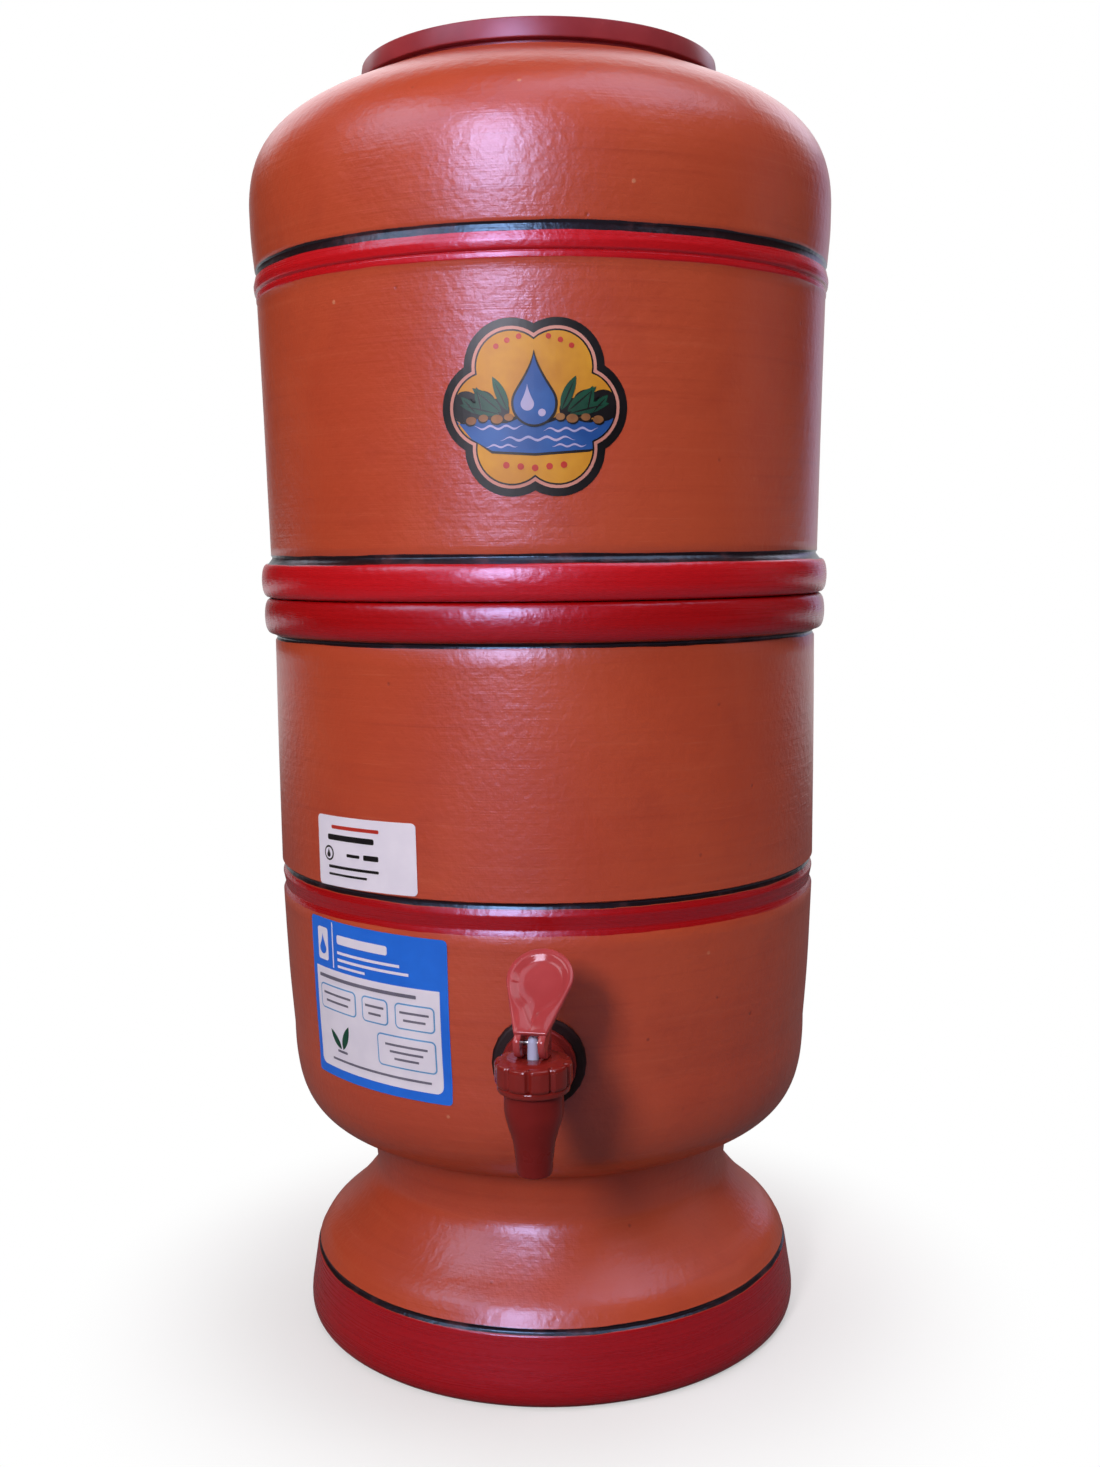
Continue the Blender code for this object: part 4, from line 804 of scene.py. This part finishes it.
def lever_mesh():
    centre = PADDLE_CENTRE
    front, back = -6.8, -4.6
    around = 132
    corners = [atan2(PADDLE_FOOT - centre, x)
               for x in (-PADDLE_FOOT_REACH, PADDLE_FOOT_REACH)]
    angles = sorted([tau * i / around - pi for i in range(around)] + corners)

    def ring(outline, y):
        points = []
        for angle in angles:
            r = ray_hit(outline, (0.0, centre), angle)
            points.append((r * cos(angle), y, centre + r * sin(angle)))
        return points

    edge = [paddle_outline(centre, v) for v in (0.55, 0.2, 0.0, 0.15, 0.5)]
    deepest = front + 1.32
    dish = [ring(dish_outline(centre, head, tail, waist), y) for head, tail, waist, y in (
        (10.0, 1.2, 1.5, front), (9.3, 2.2, 1.1, front + 0.22), (8.2, 4.4, 0.8, front + 1.02),
        (7.2, 7.0, 0.6, front + 1.28), (5.2, 12.0, 0.8, deepest))]
    bm = bmesh.new()
    add_rings(bm, [
        ring(edge[0], back), ring(edge[1], back - 0.12), ring(edge[2], back - 0.5),
        ring(edge[2], front + 0.5), ring(edge[3], front + 0.15), ring(edge[4], front)] + dish,
        (0.0, back, centre), (0.0, deepest, centre))
    rate = VALVE_LIFT / LEVER_TRAVEL

    def at_rest(forward, up):
        return Matrix.Rotation(LEVER_LEAN, 2) @ Vector((-forward, up))

    profile = [at_rest(-4.0, -HEEL)]
    for k in range(15):
        tilt = LEVER_TRAVEL * k / 14 - LEVER_LEAN
        height = HEEL + rate * (tilt + LEVER_LEAN)
        profile.append(Vector((-sin(tilt), -cos(tilt))) * height
                       + Vector((-cos(tilt), sin(tilt))) * rate)
    profile += [at_rest(HEEL + VALVE_LIFT, rate + 0.8), Vector((-5.7, 0.3)),
                Vector((-5.7, 9.5)), at_rest(back, HEEL), at_rest(back, -HEEL + 1.2)]
    middle = sum(profile, Vector((0.0, 0.0))) / len(profile)
    for side in (1, -1):
        levels = [side * v for v in (3.05, 3.3, 5.1, 5.35)]
        rings = []
        for x, inset in zip(levels, (0.22, 0.0, 0.0, 0.22)):
            drawn_in = [q + (middle - q).normalized() * inset for q in profile]
            rings.append([(x, *q) for q in drawn_in])
        add_rings(bm, rings, (levels[0], *middle), (levels[-1], *middle))
    bmesh.ops.recalc_face_normals(bm, faces=bm.faces)
    bm.transform(lever_place())
    return smooth(mesh_of(bm, "paddle_lever"), 50)


shown("fluted_bonnet", bonnet_mesh(), BONNET_PLASTIC, "lower_unit", "tap_bonnet")
shown("paddle_lever", lever_mesh(), PAINTED_LIT_LEVER_PLASTIC, "lever", "tap_lever")


# Stickers: flat outlines in mm, wrapped round a vessel's wall

def side_radius(outline, height):
    """Radius in mm of a wall's outer side at a height."""
    for a, b in zip(outline, outline[1:]):
        if a[1] <= height <= b[1]:
            return a[0] + (b[0] - a[0]) * (height - a[1]) / (b[1] - a[1])
    return outline[-1][0] if height > outline[-1][1] else outline[0][0]


def box_outline(x0, y0, x1, y1, corner=0.0):
    """A rectangle with rounded corners."""
    if corner <= 0.0:
        return [(x0, y0), (x1, y0), (x1, y1), (x0, y1)]
    points = []
    for cx, cy, start in ((x1 - corner, y0 + corner, -90), (x1 - corner, y1 - corner, 0),
                          (x0 + corner, y1 - corner, 90), (x0 + corner, y0 + corner, 180)):
        points += arc((cx, cy), corner, corner, start, start + 90, 6)
    return points


def box_outlines(*boxes):
    return [box_outline(*box) for box in boxes]


def disc_outline(cx, cy, radius, steps=24):
    return arc((cx, cy), radius, radius, 0, 360, steps)[:-1]


def flower_outline(reach, head):
    """Six round lobes joined in one outline."""
    points = []
    steps = 96
    for i in range(steps):
        angle = tau * i / steps
        off = (angle + pi / 6) % (pi / 3) - pi / 6
        r = reach * cos(off) + sqrt(head ** 2 - (reach * sin(off)) ** 2)
        points.append((r * cos(angle), r * sin(angle)))
    return points


def drop_outline(cx, cy, radius, tip):
    """A drop with its point up."""
    round_part = arc((cx, cy), radius, radius, 150, 390, 28)
    right = bezier(round_part[-1], (cx + 0.60 * radius, cy + 0.95 * radius),
                   (cx + 0.12 * radius, cy + 0.70 * tip), (cx, cy + tip), 10)
    left = bezier((cx, cy + tip), (cx - 0.12 * radius, cy + 0.70 * tip),
                  (cx - 0.60 * radius, cy + 0.95 * radius), round_part[0], 10)
    return round_part + right + left[:-1]


def leaf_outline(cx, cy, length, width, lean):
    """A pointed leaf from its stalk outwards, lean in degrees."""
    c, s = cos(radians(lean)), sin(radians(lean))
    upper = [(0.0, 0.0)] + bezier((0.0, 0.0), (0.25 * length, width),
                                  (0.70 * length, 0.85 * width), (length, 0.0), 10)
    lower = bezier((length, 0.0), (0.70 * length, -0.70 * width),
                   (0.25 * length, -0.80 * width), (0.0, 0.0), 10)[:-1]
    return [(cx + x * c - y * s, cy + x * s + y * c) for x, y in upper + lower]


def wave_outline(x0, x1, y, thick, height, length, phase=0.0):
    """A wavy ribbon from x0 to x1."""
    top, low = [], []
    for i in range(33):
        x = x0 + (x1 - x0) * i / 32
        crest = height * sin(tau * (x / length + phase))
        ends = min(1.0, 5.0 * min(i, 32 - i) / 32)
        top.append((x, y + crest + thick / 2 * ends + 0.02))
        low.append((x, y + crest - thick / 2 * ends - 0.02))
    return low + top[::-1]


def cut_to(outline, border):
    """The part of an outline that lies inside a border seen from the origin."""
    kept = []
    for x, y in outline:
        far = hypot(x, y)
        limit = ray_hit(border, (0.0, 0.0), atan2(y, x))
        k = min(1.0, limit / far) if far > 1e-6 else 1.0
        kept.append((x * k, y * k))
    return kept


CUT_STEP = 2.5  # longest flat stretch of a sticker, in mm
STICKER_THICKNESS = 0.05
BADGE_PLACE = (0.6, 373.0, 0.0)  # azimuth in degrees, height in mm, turn in degrees
SMALL_LABEL_PLACE = (-36.2, 211.6, 0.9)
FRAMED_LABEL_PLACE = (-35.7, 151.7, -1.0)


def sticker(name, outlines, material, body, wall, azimuth, height, lift, tilt):
    """Thin printed areas of one colour that follow the wall."""
    bm = bmesh.new()
    for outline in outlines:
        verts = [bm.verts.new((x, y, 0.0)) for x, y in outline]
        bm.faces.new(verts)
    for k, axis in enumerate(((1, 0, 0), (0, 1, 0))):
        along = [v.co[k] for v in bm.verts]
        at = ceil(min(along) / CUT_STEP) * CUT_STEP
        while at < max(along):
            bmesh.ops.bisect_plane(bm, geom=bm.verts[:] + bm.edges[:] + bm.faces[:],
                                   plane_co=Vector(axis) * at, plane_no=axis)
            at += CUT_STEP
    c, s = cos(radians(tilt)), sin(radians(tilt))
    for v in bm.verts:
        x, y = v.co.x * c - v.co.y * s, v.co.x * s + v.co.y * c
        r = side_radius(wall, height + y)
        angle = radians(azimuth) + x / r
        r = (r + lift) * MM
        v.co = (r * sin(angle), AXIS_Y - r * cos(angle), (height + y) * MM)
    mesh = mesh_of(bm, name)
    for face in mesh.polygons:
        outwards = face.center - Vector((0.0, AXIS_Y, face.center.z))
        if face.normal.dot(outwards) < 0:
            face.flip()
    obj = shown(name, mesh, material, body)
    solid = obj.modifiers.new("thickness", "SOLIDIFY")
    solid.thickness = STICKER_THICKNESS * MM
    solid.offset = 1.0


def printer(body, wall, azimuth, height, tilt):
    """A way to print areas at one place of a wall."""
    def put(name, outlines, material, lift):
        sticker(name, outlines, material, body, wall, azimuth, height, lift, tilt)
    return put


INK_BLACK = printed("ink_black", (26, 20, 24), (14, 10, 13), 0.30)
INK_TAN = printed("ink_tan", (214, 150, 140), (196, 130, 120))
INK_YELLOW = printed("ink_yellow", (214, 150, 26), (196, 128, 20), 0.40)
INK_BLUE = printed("ink_blue", (36, 92, 170), (26, 74, 148))
INK_PALE = printed("ink_pale", (190, 176, 214), (160, 160, 208))
INK_SAND = printed("ink_sand", (176, 122, 62), (120, 74, 40), 0.40)
INK_GREEN = printed("ink_green", (14, 88, 62), (10, 60, 46))
INK_RED = printed("ink_red", (196, 52, 38), (176, 38, 30))
PAPER = printed("label_paper", (238, 232, 248), (230, 224, 242), 0.42)
LABEL_BLUE = printed("label_blue", (34, 116, 236), (30, 106, 224))
LABEL_SKY = printed("label_sky", (110, 170, 222), (94, 154, 210))
LABEL_GREY = printed("label_grey", (120, 116, 136), (104, 100, 120))

UPPER_SIDE = curve_through([(UPPER_RADIUS, UPPER_BEAD + LINE), UPPER_MIDDLE,
                            (TOP_BAND_RADIUS, TOP_BAND[0])], 8)
LOWER_SIDE = lower_side()
BAND_SIDE = [(112.25, 180.0), (112.35, 250.0)]


def badge():
    """Flower-shaped sticker with a drop between leaves over waves."""
    put = printer("upper_unit", UPPER_SIDE, *BADGE_PLACE)
    ground = flower_outline(16.0, 12.1)

    def within(outlines, wide=1.0, tall=1.0, up=0.0):
        """Outlines scaled, moved up and cut to the ground."""
        return [cut_to([(x * wide, y * tall + up) for x, y in outline], ground)
                for outline in outlines]

    def turned(outline, side):
        return [(side * x, y) for x, y in outline]

    put("badge_border", [flower_outline(16.0, 16.6)], INK_BLACK, 0.03)
    put("badge_line", [flower_outline(16.0, 13.8)], INK_TAN, 0.09)
    put("badge_edge", [flower_outline(16.0, 12.7)], INK_BLACK, 0.15)
    put("badge_ground", [ground], INK_YELLOW, 0.21)
    sea = [(-30.0, -3.0), (-30.0, -14.5), (-15.0, -15.5), (0.0, -16.5), (15.0, -15.5),
           (30.0, -14.5), (30.0, -3.0)]
    shore = [(30.0 - 60.0 * i / 24, -3.2 + 1.1 * sin(i * 1.05)) for i in range(25)]
    put("badge_shade", within([close_set(sea[:-1] + [(30.0, -2.4)] + shore[:-1], 1.5)]),
        INK_BLACK, 0.27)
    water = close_set(sea[1:-1] + [(x, y - 0.9) for x, y in shore], 1.5)
    put("badge_water", within([water], 0.985, 0.90, -0.7), INK_BLUE, 0.33)
    waves = [(-21.0, -4.0, -6.6, 0.7, 0.55, 5.6), (3.0, 22.0, -7.6, 0.7, 0.55, 5.6, 0.3),
             (-12.0, 14.0, -10.6, 0.8, 0.6, 6.4, 0.6), (-17.0, -6.0, -13.0, 0.6, 0.4, 5.0, 0.1),
             (6.0, 18.0, -13.0, 0.6, 0.4, 5.0, 0.5)]
    put("badge_waves", [wave_outline(*wave) for wave in waves], INK_PALE, 0.39)
    bank, leaves, veins, stones = [], [], [], []
    for side in (-1, 1):
        for x, y, r in ((24.0, 0.6, 5.4), (18.2, 1.0, 5.0), (12.6, -0.8, 4.0)):
            bank.append(turned(disc_outline(x, y, r, 28), side))
        for x, y, length, width, lean in (
                (9.4, -1.0, 13.0, 3.0, 66), (11.6, -1.6, 13.5, 3.1, 40),
                (12.4, -2.2, 14.5, 3.0, 14), (18.6, -1.4, 9.0, 2.5, 78),
                (20.6, -1.8, 8.0, 2.3, 48)):
            leaves.append(turned(leaf_outline(x, y, length, width, lean), side))
            veins.append(turned(leaf_outline(x, y, 0.86 * length, 0.42, lean), side))
        for x, y, r in ((9.0, -3.4, 1.7), (13.2, -4.0, 2.1), (18.0, -3.6, 1.7),
                        (22.4, -4.4, 1.9)):
            stones.append(turned(arc((x, y), r, 0.72 * r, 0, 360, 20)[:-1], side))
    put("badge_bank", within(bank), INK_BLACK, 0.43)
    put("badge_leaves", within(leaves, 0.985, 0.985), INK_GREEN, 0.49)
    put("badge_veins", within(veins, 0.985, 0.985), INK_BLACK, 0.53)
    put("badge_stone_shade", within(stones, up=-0.35), INK_BLACK, 0.55)
    put("badge_stones", within(stones, 0.985, up=0.2), INK_SAND, 0.61)
    put("badge_drop_edge", [drop_outline(0.0, 1.4, 8.0, 18.2)], INK_BLACK, 0.66)
    put("badge_drop", [drop_outline(0.0, 1.4, 7.2, 16.6)], INK_BLUE, 0.72)
    put("badge_drop_light", [drop_outline(-2.4, 1.2, 2.3, 6.8), disc_outline(2.6, -1.8, 1.3)],
        INK_PALE, 0.78)
    beads = [disc_outline(24.6 * cos(radians(a)), 24.6 * sin(radians(a)),
                          0.95) for a in (58, 68, 78, 102, 112, 122)]
    beads += [disc_outline(x, -19.6 - 0.10 * (10 - abs(x)), 1.15) for x in (-10, -5, 0, 5, 10)]
    put("badge_beads", beads, INK_RED, 0.33)


def plain_label():
    """Small white label, printed with plain rules only."""
    put = printer("lower_unit", BAND_SIDE, *SMALL_LABEL_PLACE)
    put("small_label", [box_outline(-25.5, -13.5, 25.5, 13.5, 1.8)], PAPER, 0.04)
    put("small_label_red", [box_outline(-16.5, 8.6, 9.0, 10.0, 0.5)], INK_RED, 0.12)
    lines = box_outlines(
        (-19.0, 4.2, 6.5, 6.4, 0.7), (-8.0, -1.6, -1.0, -0.4, 0.4), (1.0, -2.0, 8.5, 0.0, 0.5),
        (-19.0, -6.6, 8.5, -5.5, 0.4), (-19.0, -9.4, 2.5, -8.5, 0.3))
    put("small_label_black", lines + [disc_outline(-18.6, -1.0, 2.9)], INK_BLACK, 0.12)
    put("small_label_ring", [disc_outline(-18.6, -1.0, 2.2)], PAPER, 0.19)
    put("small_label_drop", [drop_outline(-18.6, -1.6, 1.0, 2.5)], INK_BLACK, 0.26)


def framed_label():
    """Blue-framed label, printed with plain boxes and rules only."""
    put = printer("lower_unit", LOWER_SIDE, *FRAMED_LABEL_PLACE)
    put("framed_label", [box_outline(-35.3, -31.8, 35.3, 31.8, 1.8)], LABEL_BLUE, 0.05)
    panel = [(-32.5, 12.0), (-32.5, -25.0)] + arc((-29.5, -25.0), 3.0, 3.0, 180, 270, 6)[1:]
    panel += arc((28.8, -25.0), 3.0, 3.0, 270, 360, 6) + [(31.8, 12.0)]
    header = box_outlines(
        (-30.5, 15.0, -23.5, 28.0, 1.2), (-20.6, 13.0, -20.0, 31.0),
        (-17.5, 23.0, 9.5, 26.6, 1.0), (-17.5, 19.0, 15.0, 20.1), (-17.5, 16.2, 19.0, 17.3),
        (-17.5, 13.6, -2.0, 14.6))
    put("framed_label_white", [panel] + header, PAPER, 0.13)
    put("framed_label_icon", [drop_outline(-27.0, 19.6, 2.2, 5.8)], LABEL_BLUE, 0.21)
    boxes = [(-30.0, -4.6, -7.5, 5.6), (-4.2, -4.6, 9.0, 5.6), (12.2, -4.6, 29.6, 5.6),
             (3.0, -20.5, 29.6, -7.6)]
    put("framed_label_frames", [box_outline(*b, 2.0) for b in boxes], LABEL_SKY, 0.21)
    put("framed_label_fields", [box_outline(x0 + 0.6, y0 + 0.6, x1 - 0.6, y1 - 0.6, 1.5)
                                for x0, y0, x1, y1 in boxes], PAPER, 0.29)
    rules = box_outlines((-30.0, 8.0, 22.0, 9.4, 0.4))
    for x0, x1 in ((-27.5, -10.5), (-2.2, 7.0), (14.5, 27.2)):
        rules += box_outlines((x0, 1.6, x1, 2.5), (x0 + 1.5, -1.4, x1 - 1.5, -0.5))
    rules += box_outlines((7.0, -11.9, 26.0, -11.0), (9.0, -14.6, 24.0, -13.7),
                          (11.0, -17.3, 22.0, -16.4), (-24.0, -24.6, 27.0, -23.7))
    put("framed_label_rules", rules, LABEL_GREY, 0.37)
    put("framed_label_leaves", [leaf_outline(-17.0, -19.5, 11.0, 2.6, 68),
                                leaf_outline(-18.0, -19.5, 9.5, 2.3, 132)], INK_GREEN, 0.21)
    put("framed_label_stalk", [box_outline(-20.6, -21.0, -14.4, -20.0, 0.4)], LABEL_GREY, 0.21)


badge()
plain_label()
framed_label()


# Floor, world, lamps and camera

def grey(value):
    return (value, value, value, 1.0)


def stage_floor():
    """White floor that fades into the backdrop away from the filter; near the filter its glow is
    dimmed, which paints a soft grey ring of shade round the foot on top of the real shadow.
    """
    bm = bmesh.new()
    bmesh.ops.create_grid(bm, x_segments=24, y_segments=24, size=6.0)
    floor = linked("floor", mesh_of(bm, "floor"))
    floor.location.y = AXIS_Y
    s = Surface("floor_white")
    glow = s.node("ShaderNodeEmission", {"Color": grey(1.0)})[0]
    path = s.node("ShaderNodeLightPath")
    seen = s.plus(path["Is Camera Ray"], path["Is Transmission Ray"])
    s.finish(s.mix(seen, grey(0.14), grey(0.84)), 0.9)
    away = s.vector("LENGTH", s.place)["Value"]
    # Camera rays see only 0.42 of the glow near the axis, rising to all of it at 0.215 m: painted
    # shade round the foot, added to the real shadow that the diffuse part keeps.
    glow_share_with_painted_shade = s.times(seen, s.ramp(away, 0.10, 0.215, 0.42, 1.0))
    mirrored = s.times(path["Is Glossy Ray"], s.ramp(s.axis(s.place, "Y"), 1.1, 2.2))
    s.mixed_shader(s.plus(glow_share_with_painted_shade, mirrored), s.shader.outputs[0], glow, "Material Output")
    floor.data.materials.append(s.material)


def white_world(light, strength):
    """Even light from all round, and a white backdrop behind the object."""
    world = bpy.data.worlds.new("white")
    world.use_nodes = True
    bpy.context.scene.world = world
    n = Nodes(world.node_tree)
    base = n.tree.nodes["Background"]
    n.put(base.inputs["Color"], (*light, 1.0))
    backdrop = n.node("ShaderNodeBackground", {"Color": grey(1.0)})[0]
    path = n.node("ShaderNodeLightPath")
    turned_to = n.node("ShaderNodeTexCoord")["Generated"]
    behind = n.ramp(n.axis(turned_to, "Y"), 0.80, 1.0)
    mirrored = n.times(path["Is Glossy Ray"], behind)
    seen = n.plus(path["Is Camera Ray"], path["Is Transmission Ray"])
    n.put(base.inputs["Strength"], n.ramp(path["Is Glossy Ray"], 0.0, 1.0, strength, 0.02))
    n.mixed_shader(n.math("ADD", seen, mirrored, use_clamp=True), base.outputs[0], backdrop,
                   "World Output")


def lamp(name, azimuth, distance, height, size, colour, watts, aim=0.30, without=None):
    """An area lamp round the vessels' axis, turned towards it."""
    data = bpy.data.lights.new(name, "AREA")
    data.shape = "RECTANGLE"
    data.size, data.size_y = size
    data.color = colour
    data.energy = watts
    obj = linked(name, data)
    a = radians(azimuth)
    obj.location = (distance * sin(a), AXIS_Y - distance * cos(a), height)
    to = Vector((0.0, AXIS_Y, aim)) - obj.location
    obj.rotation_euler = to.to_track_quat("-Z", "Y").to_euler()
    if without:
        setattr(obj, without, False)


def photo_camera():
    data = bpy.data.cameras.new("camera")
    data.lens = 39.29
    data.sensor_width = 36.0
    data.clip_start = 0.02
    camera = linked("camera", data)
    azimuth = radians(2.0)
    away, height = 0.677, 0.3246
    pitch, roll, pan = radians(6.6), radians(0.62), radians(0.14)
    camera.location = (away * sin(azimuth), AXIS_Y - away * cos(azimuth), height)
    turn = Matrix.Rotation(azimuth - pan, 3, "Z")
    turn = turn @ Matrix.Rotation(pi / 2 - pitch, 3, "X")
    turn = turn @ Matrix.Rotation(-roll, 3, "Z")
    camera.rotation_euler = turn.to_euler()
    bpy.context.scene.camera = camera


stage_floor()
white_world((1.0, 0.95, 0.91), 0.175)
lamp("key", -56, 1.15, 1.32, (0.7, 0.7), (1.0, 0.97, 0.97), 5.0, 0.40)
lamp("front_strip", -15, 1.4, 0.95, (0.48, 0.95), (0.86, 0.85, 1.0), 22.0, 0.46,
     "visible_diffuse")
lamp("main", -18, 1.3, 0.76, (0.22, 0.36), (0.95, 0.90, 0.90), 10.5, 0.36, "visible_glossy")
lamp("side", 98, 1.3, 0.62, (0.5, 0.8), (1.0, 0.90, 0.88), 2.8, 0.36, "visible_glossy")
lamp("window", -8, 0.60, 1.90, (0.60, 0.8), (0.86, 0.90, 1.0), 2.4, 0.40)
lamp("sky", 72, 0.70, 1.85, (1.1, 1.1), (0.98, 0.93, 0.98), 7.8, 0.46)
lamp("ceiling", 180, 0.90, 1.20, (2.2, 0.6), (1.0, 0.95, 0.97), 8.0, 0.48)
lamp("spark", -7, 0.60, 0.55, (0.03, 0.03), (1.0, 1.0, 1.0), 0.10, 0.15)
lamp("rim", 144, 1.5, 0.8, (0.3, 1.2), (0.72, 0.66, 1.0), 1.3)
photo_camera()
bpy.context.scene.view_settings.view_transform = "Standard"
